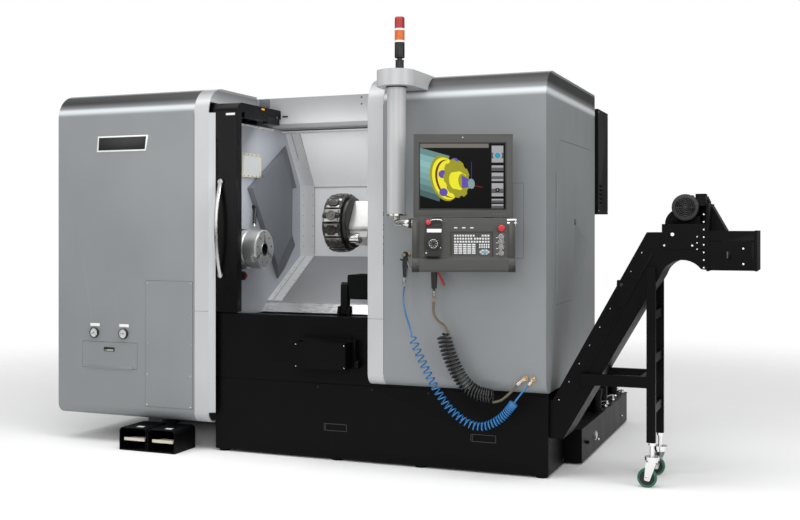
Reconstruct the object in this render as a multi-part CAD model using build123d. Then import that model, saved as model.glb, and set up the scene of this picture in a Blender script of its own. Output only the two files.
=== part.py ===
from build123d import *

import os
from math import cos, radians, sin, tan

# A slant-bed CNC turning lathe with its chip conveyor, coolant tank, console and foot pedals.
# It is modelled in the machine's own frame, in millimetres: X runs along the machine and is 0 at
# the right cabinet's outer side, Y runs from the cabinets' front plane to the back, Z is up from
# the floor. The last section moves everything so that the origin is the bottom centre.

# Cabinets and opening
LEFT_COVER_WIDTH = 888.0
LEFT_PILLAR_WIDTH = 87.0
OPENING_WIDTH = 915.0
RIGHT_PILLAR_WIDTH = 86.0
RIGHT_COVER_WIDTH = 819.0
CABINET_TOP = 1930.0
CABINET_DEPTH = 1140.0
TOP_RADIUS = 140.0
ROLL_RADIUS = 60.0
REAR_RADIUS = 12.0
LEFT_BOTTOM = 145.0
RIGHT_BOTTOM = 400.0
SKIN = 6.0
GAP = 2.0
FLANGE = 90.0
ROOF_FRONT = 520.0
ROOF_TOP = 1919.0
LIP_Z = 1757.0

# Base and chip chute
BASE_FRONT = 45.0
BASE_LEFT_SETBACK = 17.0
PLINTH_TOP = 387.0
APRON_TOP = 730.0
LEDGE_DEPTH = 65.0
SEAM = 4.0
FOOT_HEIGHT = 12.0
FOOT_RADIUS = 30.0

# Sliding door, an upright leaf that turns over into a roof leaf
DOOR_FRONT = 20.0
DOOR_THICKNESS = 50.0
DOOR_WIDTH = 941.0
DOOR_OPEN_SHOWING = 161.0
DOOR_BOTTOM = 739.0
DOOR_TOP = 1845.0
DOOR_ROOF_BACK = 508.0
DOOR_RADIUS = 60.0
DOOR_STILE = 120.0
DOOR_CLOSED_GAP = 4.0
WINDOW_BOTTOM = 930.0
WINDOW_TOP = 1650.0
GLASS = 8.0
HANDLE_BOTTOM = 922.0
HANDLE_TOP = 1434.0
HANDLE_RADIUS = 11.0
HANDLE_REACH = 48.0
HANDLE_INSET = 97.0

# Turning chamber
CHAMBER_LEFT_INSET = 80.0
CHAMBER_RIGHT_REACH = 405.0
CHAMBER_FRONT = 80.0
CHAMBER_TOP = 1750.0
REAR_PANEL_TOP = (724.0, 1741.0)
BAND_Y = 917.0
BAND_TOP = 1441.0
BAND_BOTTOM = 1010.0
SLOPE_FOOT = (500.0, 766.0)
SILL_FOOT = (440.0, 708.0)
FLANGE_WIDTH = 95.0
FLANGE_RISE = 9.0
SHEET = 6.0
LAMP_Y = (212.0, 396.0)
LAMP_Z = (1472.0, 1579.0)
LAMP_FRAME = 10.0

# Spindle and chuck, on an axis along X
SPINDLE_Y = 230.0
SPINDLE_Z = 1066.0
CHUCK_RADIUS = 106.0
CHUCK_LENGTH = 118.0
CHUCK_FACE_REACH = 131.0
CHUCK_BORE = 34.0
SPINDLE_RADIUS = 60.0
SPINDLE_LENGTH = 640.0
JAW_NECK = 22.0
JAW_FOOT = 34.0
JAW_LIP = 12.0
JAW_DEPTH = 30.0
JAW_INNER = 42.0
JAW_OUTER = 98.0
JAW_TRAVEL = 4.0
FIT = 0.3

# Turret on its cross slide, which leans with the slant bed
SLANT = 60.0
TURRET_Y = 312.0
TURRET_Z = 1208.0
TURRET_LEFT_FROM_CHUCK = 369.0
TURRET_RADIUS = 152.0
TURRET_WIDTH = 110.0
STATIONS = 12
STATION_BORE = 20.0
TURRET_RING = 22.0
HOUSING_LENGTH = 250.0
HOUSING_FRONT = 70.0
HOUSING_BACK = 120.0
SLIDE_FIT = 0.3
HOUSING_LOW = 75.0
HOUSING_HIGH = 100.0
SADDLE_BOTTOM = 1085.0
SADDLE_TOP = 1400.0
COVER_STEP = 6.0

# Console, turned to face an operator who stands to the right
PENDANT_X = -690.0
PENDANT_Y = -150.0
PENDANT_ARM_RADIUS = 94.0
PENDANT_BOTTOM = 1851.0
PENDANT_TOP = 1928.0
COLUMN_RADIUS = 45.0
COLUMN_BOTTOM = 1237.0
ARM_TUBE = 17.5
CONSOLE_TURN = 21.6
CONSOLE_X = -543.0
CONSOLE_Y = -308.0
MONITOR_WIDTH = 455.0
MONITOR_BOTTOM = 1228.0
MONITOR_TOP = 1609.0
MONITOR_DEPTH = 60.0
SCREEN_X = (30.0, MONITOR_WIDTH - 36.0)
SCREEN_Z = (1268.0, 1566.0)
HINGE_DEPTH = 30.0
HINGE_Z = 1201.0
PANEL_BOTTOM = 978.0

# Chip conveyor
TROUGH_Y = (70.0, 310.0)
TROUGH_BOTTOM = 190.0
TROUGH_TOP = 366.0
TROUGH_LEFT = -1600.0
BEND_TOP_X = 12.0
HEAD_X = 451.0
HEAD_TOP = 1160.0
FLANGE_X = 715.0
CHUTE_RIGHT = 930.0
CHUTE_BOTTOM = 990.0
PLATE = 4.0
LEG_X = (453.0, 493.0)
LEG_DEPTH = 26.0
STEM_X = 477.0
LEG_BOTTOM = 204.0
WHEEL_RADIUS = 44.0
WHEEL_WIDTH = 26.0
CASTER_TRAIL = 22.0

# Coolant tank
TANK_X = (-480.0, 84.0)
TANK_Y = (395.0, 1700.0)
TANK_TOP = 178.0

# Parts catcher
CATCHER_X = (-1106.0, -950.0)
CATCHER_PIVOT = (130.0, 762.0)
CATCHER_POST = 37.0
CATCHER_PIN = 9.0

# Bed
BED_BACK = 1060.0
RAIL_FACE = 966.0

# Places along the machine, from the widths above
X_RIGHT = 0.0
X_RIGHT_PILLAR = X_RIGHT - RIGHT_COVER_WIDTH
X_OPENING_RIGHT = X_RIGHT_PILLAR - RIGHT_PILLAR_WIDTH
X_OPENING_LEFT = X_OPENING_RIGHT - OPENING_WIDTH
X_LEFT_PILLAR = X_OPENING_LEFT - LEFT_PILLAR_WIDTH
X_LEFT = X_LEFT_PILLAR - LEFT_COVER_WIDTH
X_WALL_LEFT = X_OPENING_LEFT + CHAMBER_LEFT_INSET
X_WALL_RIGHT = X_OPENING_RIGHT + CHAMBER_RIGHT_REACH
X_CHUCK_FACE = X_WALL_LEFT + CHUCK_FACE_REACH
X_TURRET = X_CHUCK_FACE + TURRET_LEFT_FROM_CHUCK
X_HOUSING = X_TURRET + TURRET_WIDTH + TURRET_RING + FIT
X_BASE_LEFT = X_OPENING_LEFT + BASE_LEFT_SETBACK


def block(x, y, z):
    """A box from three (low, high) pairs."""
    size = Box(x[1] - x[0], y[1] - y[0], z[1] - z[0], align=(Align.MIN, Align.MIN, Align.MIN))
    return Pos(x[0], y[0], z[0]) * size


def along_x(points, x, radii=0.0):
    """A solid from a (Y, Z) outline, along X between two places."""
    outline = FilletPolyline(*points, radius=radii, close=True)
    face = make_face(Plane.YZ * outline)
    return Pos(x[0], 0, 0) * extrude(face, amount=x[1] - x[0], dir=(1, 0, 0))


def along_y(points, y, radii=0.0):
    """A solid from an (X, Z) outline, along Y between two places."""
    outline = FilletPolyline(*points, radius=radii, close=True)
    face = make_face(Location((0, 0, 0), (90, 0, 0)) * outline)
    return Pos(0, y[0], 0) * extrude(face, amount=y[1] - y[0], dir=(0, 1, 0))


def along_z(points, z, radii=0.0):
    """A solid from an (X, Y) outline, along Z between two heights."""
    face = make_face(FilletPolyline(*points, radius=radii, close=True))
    return Pos(0, 0, z[0]) * extrude(face, amount=z[1] - z[0], dir=(0, 0, 1))


def rod_x(radius, x, y, z):
    """A cylinder along X between two places, at one Y and Z."""
    return Pos((x[0] + x[1]) / 2, y, z) * Rot(0, 90, 0) * Cylinder(radius, x[1] - x[0])


def rod_y(radius, x, y, z):
    """A cylinder along Y between two places, at one X and Z."""
    return Pos(x, (y[0] + y[1]) / 2, z) * Rot(90, 0, 0) * Cylinder(radius, y[1] - y[0])


def rod_z(radius, x, y, z):
    """A cylinder along Z between two heights, at one X and Y."""
    return Pos(x, y, (z[0] + z[1]) / 2) * Cylinder(radius, z[1] - z[0])


def sheet_x(points, x, thickness=SHEET):
    """A folded sheet along X, from the (Y, Z) points of its face; it thickens to the left of the path."""
    path = Polyline(*points)
    face = make_face(Plane.YZ * offset_strip(path, thickness))
    return Pos(x[0], 0, 0) * extrude(face, amount=x[1] - x[0], dir=(1, 0, 0))


def offset_strip(path, thickness):
    """The closed outline of a strip beside an open path."""
    return offset(path, amount=thickness, side=Side.LEFT, kind=Kind.INTERSECTION)


def cabinet_profile(bottom, inset=0.0):
    """The outline of a cabinet from the side: rolled at the bottom front, rounded at the top front."""
    low, high = inset, CABINET_DEPTH - inset
    points = [(low, bottom + inset), (low, CABINET_TOP - inset), (high, CABINET_TOP - inset),
              (high, bottom + inset)]
    radii = [ROLL_RADIUS - inset, TOP_RADIUS - inset, REAR_RADIUS - inset, REAR_RADIUS - inset]
    return points, radii


def underside(x, bottom):
    """The opening in a cabinet's floor, which leaves a flange in front and the bed's back face behind."""
    return block(x, (FLANGE, BED_BACK), (bottom - 1, bottom + SKIN + 1))


def cabinet_body(bottom, x, inset=0.0):
    """A solid bar of the cabinet's profile."""
    points, radii = cabinet_profile(bottom, inset)
    return along_x(points, x, radii)


# Left cabinet
GAUGE_X = (-2546.0, -2354.0)
GAUGE_Z = 604.0
GAUGE_RADIUS = 28.0
FILTER_DOOR_X = (-2631.0, -2268.0)
FILTER_DOOR_Z = (410.0, 555.0)
BARREL = 2.5
STRAP = 1.5
STRAP_WIDTH = 14.0
FILTER_HINGE = (-BARREL - 0.3, FILTER_DOOR_Z[0])
SERVICE_X = (-2214.0, -1918.0)
SERVICE_Z = (216.0, 896.0)
SERVICE_PROUD = 1.6


def left_cabinet():
    """The grey cover over the headstock, with two pressure gauges and a screwed service panel."""
    shell = cabinet_body(LEFT_BOTTOM, (X_LEFT, X_LEFT_PILLAR))
    shell -= cabinet_body(LEFT_BOTTOM, (X_LEFT + SKIN, X_LEFT_PILLAR + 1), SKIN)
    shell -= underside((X_LEFT + FLANGE, X_LEFT_PILLAR + 1), LEFT_BOTTOM)
    shell -= block(FILTER_DOOR_X, (-1, SKIN + 1), FILTER_DOOR_Z)
    shell += block(SERVICE_X, (-SERVICE_PROUD, 0), SERVICE_Z)
    for x in GAUGE_X:
        shell += rod_y(GAUGE_RADIUS, x, (-14, 0), GAUGE_Z)
        shell -= rod_y(GAUGE_RADIUS - 3.5, x, (-15, -11), GAUGE_Z)
    for row in range(6):
        z = 1500 + 40 * row
        shell -= block((X_LEFT - 1, X_LEFT + SKIN + 1), (420, 720), (z, z + 14))
    return shell


def pillar_ring(bottom, x):
    """The bent silver band that edges a cabinet: up the front and back over the top."""
    ring = cabinet_body(bottom, x) - cabinet_body(bottom, (x[0] - 1, x[1] + 1), SKIN)
    ring -= underside((x[0] - 1, x[1] + 1), bottom)
    return ring - block((x[0] - 1, x[1] + 1), (ROOF_FRONT, CABINET_DEPTH + 1), (0, CABINET_TOP + 1))


def left_pillar():
    """The silver pillar left of the opening, with a slanted jamb and a web above the door's roof leaf."""
    x = (X_LEFT_PILLAR, X_OPENING_LEFT)
    pillar = pillar_ring(LEFT_BOTTOM, x)
    jamb_points = [(x[1] - 1, 0), (x[1] + 33, DOOR_FRONT - 3), (x[1] + 33, DOOR_FRONT - GAP),
                   (x[1] - 1, SKIN)]
    pillar += along_z(jamb_points, (LEFT_BOTTOM + ROLL_RADIUS, CABINET_TOP - TOP_RADIUS))
    web = cabinet_body(LEFT_BOTTOM, (x[1] - SKIN, x[1]))
    web -= block((x[0], x[1] + 1), (ROOF_FRONT, CABINET_DEPTH + 1), (0, CABINET_TOP + 1))
    web -= block((x[0], x[1] + 1), (SKIN, ROOF_FRONT), (0, DOOR_TOP + 2 * GAP))
    return pillar + web


def right_pillar():
    """The silver pillar right of the opening, with a jamb that the closed door meets."""
    x = (X_OPENING_RIGHT, X_RIGHT_PILLAR)
    pillar = pillar_ring(RIGHT_BOTTOM, x)
    web = cabinet_body(RIGHT_BOTTOM, (x[0], x[0] + SKIN))
    web -= block((x[0] - 1, x[1]), (ROOF_FRONT, CABINET_DEPTH + 1), (0, CABINET_TOP + 1))
    web -= block((x[0] - 1, x[1]), (CHAMBER_FRONT - GAP, ROOF_FRONT), (0, CHAMBER_TOP + GAP))
    web -= block((x[0] - 1, x[1]), (BASE_FRONT - GAP, ROOF_FRONT), (0, APRON_TOP + GAP))
    return pillar + web


# Right cabinet and its side door
SIDE_DOOR = [(200.0, 808.0), (539.0, 811.0), (1026.0, 1096.0), (1026.0, 1612.0), (285.0, 1612.0),
             (200.0, 1495.0)]
SIDE_DOOR_GAP = 1.5
LATCH = (610.0, 1211.0)
SIDE_HINGE = (X_RIGHT + BARREL + 0.3, 200.0)
SIDE_HINGE_Z = (850.0, 1450.0)


def right_cabinet():
    """The grey cover right of the opening, with a many-sided door opening in its end."""
    shell = cabinet_body(RIGHT_BOTTOM, (X_RIGHT_PILLAR, X_RIGHT))
    shell -= cabinet_body(RIGHT_BOTTOM, (X_RIGHT_PILLAR - 1, X_RIGHT - SKIN), SKIN)
    shell -= along_x(SIDE_DOOR, (X_RIGHT - SKIN - 1, X_RIGHT + 1))
    shell -= underside((X_RIGHT_PILLAR - 1, X_RIGHT - FLANGE), RIGHT_BOTTOM)
    return shell


def side_door():
    """The flush door in the right side, with a quarter-turn latch and stiffening folds inside."""
    outline = offset(make_face(Polyline(*SIDE_DOOR, close=True)), amount=-SIDE_DOOR_GAP)
    skin = Pos(X_RIGHT - SKIN, 0, 0) * extrude(Plane.YZ * outline, amount=SKIN, dir=(1, 0, 0))
    for y in (LATCH[0] - 190, LATCH[0] + 190):
        skin += block((X_RIGHT - SKIN - 18, X_RIGHT - SKIN), (y, y + 30), (LATCH[1] - 311, LATCH[1] + 349))
    skin += rod_x(15, (X_RIGHT, X_RIGHT + 4), *LATCH)
    x, y = SIDE_HINGE
    skin += block((X_RIGHT, X_RIGHT + STRAP), (y + SIDE_DOOR_GAP, y + STRAP_WIDTH), SIDE_HINGE_Z)
    return skin + rod_z(BARREL, x, y, SIDE_HINGE_Z)


def filter_door():
    """The small flap over the air filter, with a finger lip along its lower edge."""
    x = (FILTER_DOOR_X[0] + SIDE_DOOR_GAP, FILTER_DOOR_X[1] - SIDE_DOOR_GAP)
    z = (FILTER_DOOR_Z[0] + SIDE_DOOR_GAP, FILTER_DOOR_Z[1] - SIDE_DOOR_GAP)
    flap = block(x, (0, SKIN), z)
    flap += block((x[0] + 20, x[1] - 20), (SKIN, SKIN + 10), (z[1] - 12, z[1] - 8))
    strap_z = (FILTER_HINGE[1] + SIDE_DOOR_GAP, FILTER_HINGE[1] + STRAP_WIDTH)
    strap = block((x[0] + 30, x[1] - 30), (-STRAP, 0), strap_z)
    return flap + strap + rod_x(BARREL, (x[0] + 30, x[1] - 30), *FILTER_HINGE)


def roof_header():
    """The fixed roof and its front beam between the cabinets, with the rear wall."""
    x = (X_LEFT_PILLAR, X_RIGHT_PILLAR)
    fascia = sheet_x([(REAR_PANEL_TOP[0], LIP_Z), (ROOF_FRONT + 36, LIP_Z), (ROOF_FRONT + SKIN, LIP_Z + 18),
                      (ROOF_FRONT + SKIN, ROOF_TOP - SKIN)], (X_OPENING_LEFT, X_OPENING_RIGHT))
    roof = block(x, (ROOF_FRONT, CABINET_DEPTH), (ROOF_TOP - SKIN, ROOF_TOP))
    back = block(x, (CABINET_DEPTH - SKIN, CABINET_DEPTH), (RIGHT_BOTTOM, ROOF_TOP))
    beam_z = (ROOF_TOP - 419, ROOF_TOP - 359)
    beam = block((X_OPENING_LEFT, X_OPENING_RIGHT), (CABINET_DEPTH - 60, CABINET_DEPTH), beam_z)
    return fascia + roof + back + beam


# Base
BED_FRONT = 600.0
BED_X = (X_WALL_LEFT - 40.0, X_WALL_RIGHT - 20.0)
SEAT_X = (-2520.0, BED_X[0])
SEAT_FRONT = 465.0
SEAT_TOP = 860.0
HEADSTOCK_X = (-2450.0, X_WALL_LEFT - SHEET)
HEADSTOCK_Y = (110.0, 640.0)
HEADSTOCK_TOP = 1240.0
RAIL_Z = (1080.0, 1290.0)
RAIL_SIZE = 40.0
BASE_SKIN = 8.0
CHUTE_Y = 380.0
CHUTE_Z = 390.0


def base_frame():
    """The black base: plinth, apron with its ledge, side plates, chip chute and levelling feet."""
    skin = (BASE_FRONT, BASE_FRONT + BASE_SKIN)
    apron_x = (X_BASE_LEFT, X_OPENING_RIGHT)
    lower = block((X_BASE_LEFT, X_RIGHT), skin, (FOOT_HEIGHT, PLINTH_TOP))
    seam = block((X_BASE_LEFT, X_RIGHT), (skin[0] + SEAM, skin[1]), (PLINTH_TOP - 5, RIGHT_BOTTOM))
    apron = block(apron_x, skin, (PLINTH_TOP + SEAM, APRON_TOP))
    ledge = block(apron_x, (BASE_FRONT, BASE_FRONT + LEDGE_DEPTH), (APRON_TOP - BASE_SKIN, APRON_TOP))
    inner = block(apron_x, (BASE_FRONT + LEDGE_DEPTH - SKIN, BASE_FRONT + LEDGE_DEPTH),
                  (PLINTH_TOP, APRON_TOP))
    frame = lower + seam + apron + ledge + inner
    for x in (apron_x[0], apron_x[1] - SKIN):
        frame += block((x, x + SKIN), (BASE_FRONT, BASE_FRONT + LEDGE_DEPTH), (PLINTH_TOP, APRON_TOP))
    for x in (X_BASE_LEFT, X_RIGHT - BASE_SKIN):
        frame += block((x, x + BASE_SKIN), (BASE_FRONT, CABINET_DEPTH), (FOOT_HEIGHT, RIGHT_BOTTOM))
    frame += block((X_BASE_LEFT, X_RIGHT), (CABINET_DEPTH - BASE_SKIN, CABINET_DEPTH),
                   (TANK_TOP + 12, RIGHT_BOTTOM))
    frame += block((X_OPENING_RIGHT, X_RIGHT), (CHUTE_Y, CABINET_DEPTH), (RIGHT_BOTTOM - 10, RIGHT_BOTTOM))
    frame += block((X_BASE_LEFT, X_OPENING_RIGHT), (BED_BACK, CABINET_DEPTH),
                   (RIGHT_BOTTOM - 10, RIGHT_BOTTOM))
    frame += block((X_BASE_LEFT, X_RIGHT), (skin[0], skin[1] + 20), (FOOT_HEIGHT, FOOT_HEIGHT + 6))
    chute_y = (CHUTE_Y - SKIN, CHUTE_Y)
    frame += block((X_BASE_LEFT, X_RIGHT - BASE_SKIN), chute_y, (TROUGH_BOTTOM, RIGHT_BOTTOM))
    frame += along_x([(chute_y[0], CHUTE_Z), (chute_y[1], CHUTE_Z), (SILL_FOOT[0], SILL_FOOT[1] - 18),
                      (SILL_FOOT[0] - SKIN, SILL_FOOT[1] - 18)], apron_x)
    chute_end = (apron_x[1] - SKIN, apron_x[1])
    frame += block(chute_end, (chute_y[0], SEAT_FRONT), (RIGHT_BOTTOM - 10, SILL_FOOT[1] - 18))
    frame -= block(SEAT_X, (SEAT_FRONT, BED_BACK), (0, SEAT_TOP))
    frame -= block((BED_X[0] - 1, BED_X[1]), (BED_FRONT, BED_BACK), (0, 900))
    clear = 3.0
    frame -= block((X_RIGHT - BASE_SKIN - 1, X_RIGHT + 1), (TROUGH_Y[0] - clear, TROUGH_Y[1] + clear),
                   (TROUGH_BOTTOM - clear, RIGHT_BOTTOM + 1))
    frame -= block((X_RIGHT - BASE_SKIN - 1, X_RIGHT + 1), (TANK_Y[0] - clear, CABINET_DEPTH + 1),
                   (0, TANK_TOP + BASE_SKIN))
    for x in (X_BASE_LEFT + 40, X_BASE_LEFT + 700, X_RIGHT - 650, X_RIGHT - 40):
        frame += rod_z(FOOT_RADIUS, x, BASE_FRONT + FOOT_RADIUS + 2, (0, FOOT_HEIGHT))
    return frame + catcher_ears()


def catcher_ears():
    """The two ears on the apron's inner face that hold the parts catcher's pivot."""
    y, z = CATCHER_PIVOT
    front = BASE_FRONT + LEDGE_DEPTH
    ears = None
    for x in ((CATCHER_X[0] - 16, CATCHER_X[0] - 4),
              (CATCHER_X[0] + CATCHER_POST + 4, CATCHER_X[0] + CATCHER_POST + 16)):
        ear = along_x([(front - 4, 690), (front, 690), (y + 16, z - 20), (y + 16, z + 16), (y - 16, z + 16),
                       (front - 4, z - 20)], x)
        ear -= rod_x(CATCHER_PIN + FIT, (x[0] - 1, x[1] + 1), y, z)
        ears = ear if ears is None else ears + ear
    return ears


def slant_bed():
    """The cast bed behind the chamber, its guide rails, and the headstock bored for the spindle."""
    floor = Line(SLOPE_FOOT, (BAND_Y, BAND_BOTTOM))
    under = [(point.X + 20, point.Y - 45) for point in (floor @ 0.2, floor @ 0.75)]
    profile = [(BED_FRONT, FOOT_HEIGHT), (BED_BACK, FOOT_HEIGHT), (BED_BACK, 1380), (1010, 1380),
               (990, RAIL_Z[0] - 60),
               under[1], under[0], (BED_FRONT, 720)]
    bed = along_x(profile, BED_X)
    seat = block(SEAT_X, (SEAT_FRONT, BED_BACK), (FOOT_HEIGHT, SEAT_TOP))
    seat -= block((SEAT_X[0] + 100, SEAT_X[1] - 120), (SEAT_FRONT - 1, 700), (FOOT_HEIGHT - 1, 500))
    headstock = block(HEADSTOCK_X, HEADSTOCK_Y, (SEAT_TOP, HEADSTOCK_TOP))
    headstock = fillet(headstock.edges().filter_by(Axis.X).sort_by(Axis.Y)[:2], 40)
    bed = bed + seat + headstock
    bed -= rod_x(SPINDLE_RADIUS + FIT, (HEADSTOCK_X[0] - 1, HEADSTOCK_X[1] + 1), SPINDLE_Y, SPINDLE_Z)
    for x in (SEAT_X[0] + 50, BED_X[0] - 70, BED_X[0] + 480, BED_X[1] - 60):
        for y in (BED_FRONT + 40, BED_BACK - 40):
            bed += rod_z(FOOT_RADIUS, x, y, (0, FOOT_HEIGHT + 1))
    for z in RAIL_Z:
        bed += block(BED_X, (RAIL_FACE, 1020), (z, z + RAIL_SIZE))
    return bed


# Chamber
def chamber_profile(rise=0.0):
    """The fold of the rear sheets, from the header down to the sill, moved towards the front by a rise."""
    return [(REAR_PANEL_TOP[0] - rise, REAR_PANEL_TOP[1]), (BAND_Y - rise, BAND_TOP - rise / 2),
            (BAND_Y - rise, BAND_BOTTOM + rise / 2), (SLOPE_FOOT[0] - rise / 2, SLOPE_FOOT[1] + rise / 2)]


def chamber_wall(x):
    """One end wall of the chamber, cut to the fold of the rear sheets."""
    ledge = BASE_FRONT + LEDGE_DEPTH
    points = [(ledge, SILL_FOOT[1]), (ledge, APRON_TOP), (CHAMBER_FRONT, APRON_TOP),
              (CHAMBER_FRONT, CHAMBER_TOP),
              (REAR_PANEL_TOP[0], CHAMBER_TOP)]
    return along_x(points + chamber_profile()[1:] + [SILL_FOOT], x)


def folded_strip(x):
    """A raised folded strip that follows the rear sheets at one end of the chamber."""
    return along_x(chamber_profile(FLANGE_RISE) + chamber_profile()[::-1], x)


def chamber_liner():
    """The folded sheet lining: end walls, rear panel, sloping floor, sill, and the raised end strips."""
    across = (X_WALL_LEFT - SHEET, X_WALL_RIGHT + SHEET)
    top, bend, foot, slope = chamber_profile()
    liner = chamber_wall((X_WALL_LEFT - SHEET, X_WALL_LEFT)) + chamber_wall((X_WALL_RIGHT,
                                                                             X_WALL_RIGHT + SHEET))
    liner += sheet_x([(bend[0], bend[1] - 12), bend, top, (top[0] - 50, top[1] + 4)], across, -SHEET)
    liner += sheet_x([SILL_FOOT, slope, foot, (foot[0], foot[1] + 12)], across, -SHEET)
    liner += folded_strip((X_WALL_LEFT, X_WALL_LEFT + FLANGE_WIDTH))
    liner += folded_strip((X_WALL_RIGHT - FLANGE_WIDTH, X_WALL_RIGHT))
    for low, high in ((0.0, 0.16), (0.84, 1.0)):
        sill = Line(SILL_FOOT, slope)
        start, end = sill @ low, sill @ high
        liner += along_x([(start.X, start.Y), (end.X, end.Y), (end.X - 5, end.Y + 5),
                          (start.X - 5, start.Y + 5)],
                         (X_WALL_LEFT, X_WALL_RIGHT))
    frame = block((X_WALL_LEFT, X_WALL_LEFT + LAMP_FRAME), (LAMP_Y[0] - 8, LAMP_Y[1] + 8),
                  (LAMP_Z[0] - 8, LAMP_Z[1] + 8))
    frame -= block((X_WALL_LEFT + 2, X_WALL_LEFT + LAMP_FRAME + 1), LAMP_Y, LAMP_Z)
    liner += frame
    liner -= rod_x(CHUCK_RADIUS + 4, (X_WALL_LEFT - SHEET - 1, X_WALL_LEFT + 1), SPINDLE_Y, SPINDLE_Z)
    return liner


HOOD = [(268.0, 1400.0), (712.0, 1664.0), (860.0, 1424.0), (743.0, 1413.0), (738.0, 1146.0), (888.0, 1050.0),
        (612.0, 890.0)]
HOOD_PROUD = 34.0


def headstock_hood():
    """The dark folded cover that stands proud of the left wall beside the chuck."""
    hood = extrude(make_face(Plane.YZ * Polyline(*HOOD, close=True)), amount=HOOD_PROUD, dir=(1, 0, 0))
    fold = (650.0, 1567.0)
    upper = Plane(origin=(HOOD_PROUD, *fold), x_dir=(0, HOOD[3][0] - fold[0], HOOD[3][1] - fold[1]),
                  z_dir=(0.962, 0.24, 0.13))
    lower = Plane(origin=(HOOD_PROUD, HOOD[4][0], HOOD[4][1]), x_dir=(0, -180, -170),
                  z_dir=(0.962, 0.19, -0.19))
    for fold in (upper, lower):
        hood -= fold * Pos(0, 0, 400) * Box(1400, 1400, 800)
    hood -= block((-1, HOOD_PROUD + 1), (LAMP_Y[0] - 20, LAMP_Y[1] + 10), (LAMP_Z[0] - 10, LAMP_Z[1] + 20))
    return Pos(X_WALL_LEFT, 0, 0) * hood


# Door
def door_x():
    """The door's two ends along X, at rest, slid open."""
    right = X_OPENING_LEFT + DOOR_OPEN_SHOWING
    return right - DOOR_WIDTH, right


def door_frame():
    """The door: an upright leaf with a window, turned over into a roof leaf with its interlock."""
    x = door_x()
    back = DOOR_FRONT + DOOR_THICKNESS
    under = DOOR_TOP - DOOR_THICKNESS
    points = [(DOOR_FRONT, DOOR_BOTTOM), (DOOR_FRONT, DOOR_TOP), (DOOR_ROOF_BACK, DOOR_TOP),
              (DOOR_ROOF_BACK, under),
              (back, under), (back, DOOR_BOTTOM)]
    door = along_x(points, x, [0, DOOR_RADIUS, 0, 0, DOOR_RADIUS - DOOR_THICKNESS, 0])
    window_x = (x[0] + DOOR_STILE, x[1] - DOOR_STILE)
    door -= block(window_x, (DOOR_FRONT - 1, back + 1), (WINDOW_BOTTOM, WINDOW_TOP))
    door -= block((x[0] + 45, x[1] - 45), (back + 30, DOOR_ROOF_BACK - 40), (under - 1, DOOR_TOP - SKIN))
    door += block((x[1] - 44, x[1]), (100, 360), (under - 26, under))
    door += block((x[1] - 36, x[1] - 4), (360, DOOR_ROOF_BACK - 8), (under - 34, under))
    door += block((x[0] + 30, x[1] - 20), (back - 18, back - 4), (APRON_TOP + FIT, DOOR_BOTTOM + 1))
    return door


def door_window():
    """The window's pane, set in the upright leaf."""
    x = door_x()
    middle = DOOR_FRONT + DOOR_THICKNESS / 2
    return block((x[0] + DOOR_STILE, x[1] - DOOR_STILE), (middle, middle + GLASS),
                 (WINDOW_BOTTOM, WINDOW_TOP))


def door_handle():
    """The bowed bar handle on the door's right stile."""
    x = door_x()[1] - HANDLE_INSET
    middle = (HANDLE_BOTTOM + HANDLE_TOP) / 2
    path = ThreePointArc((x, DOOR_FRONT, HANDLE_BOTTOM), (x, DOOR_FRONT - HANDLE_REACH, middle),
                         (x, DOOR_FRONT, HANDLE_TOP))
    bar = sweep(Plane(path @ 0, z_dir=path % 0) * Circle(HANDLE_RADIUS), path)
    bar = bar - block((x - 40, x + 40), (DOOR_FRONT, DOOR_FRONT + 60), (HANDLE_BOTTOM - 60, HANDLE_TOP + 60))
    for z in (HANDLE_BOTTOM, HANDLE_TOP):
        bar += rod_y(HANDLE_RADIUS + 4, x, (DOOR_FRONT - 9, DOOR_FRONT),
                     z + (10 if z == HANDLE_BOTTOM else -10))
    return bar


# Spindle and chuck
def jaw_angle(index):
    """The angle of one jaw about the spindle, from straight up."""
    return 90 + 120 * index


def turned(shape, angle):
    """A shape made about the X axis, turned by an angle and put on the spindle's axis."""
    return Pos(0, SPINDLE_Y, SPINDLE_Z) * Rot(angle, 0, 0) * shape


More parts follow.
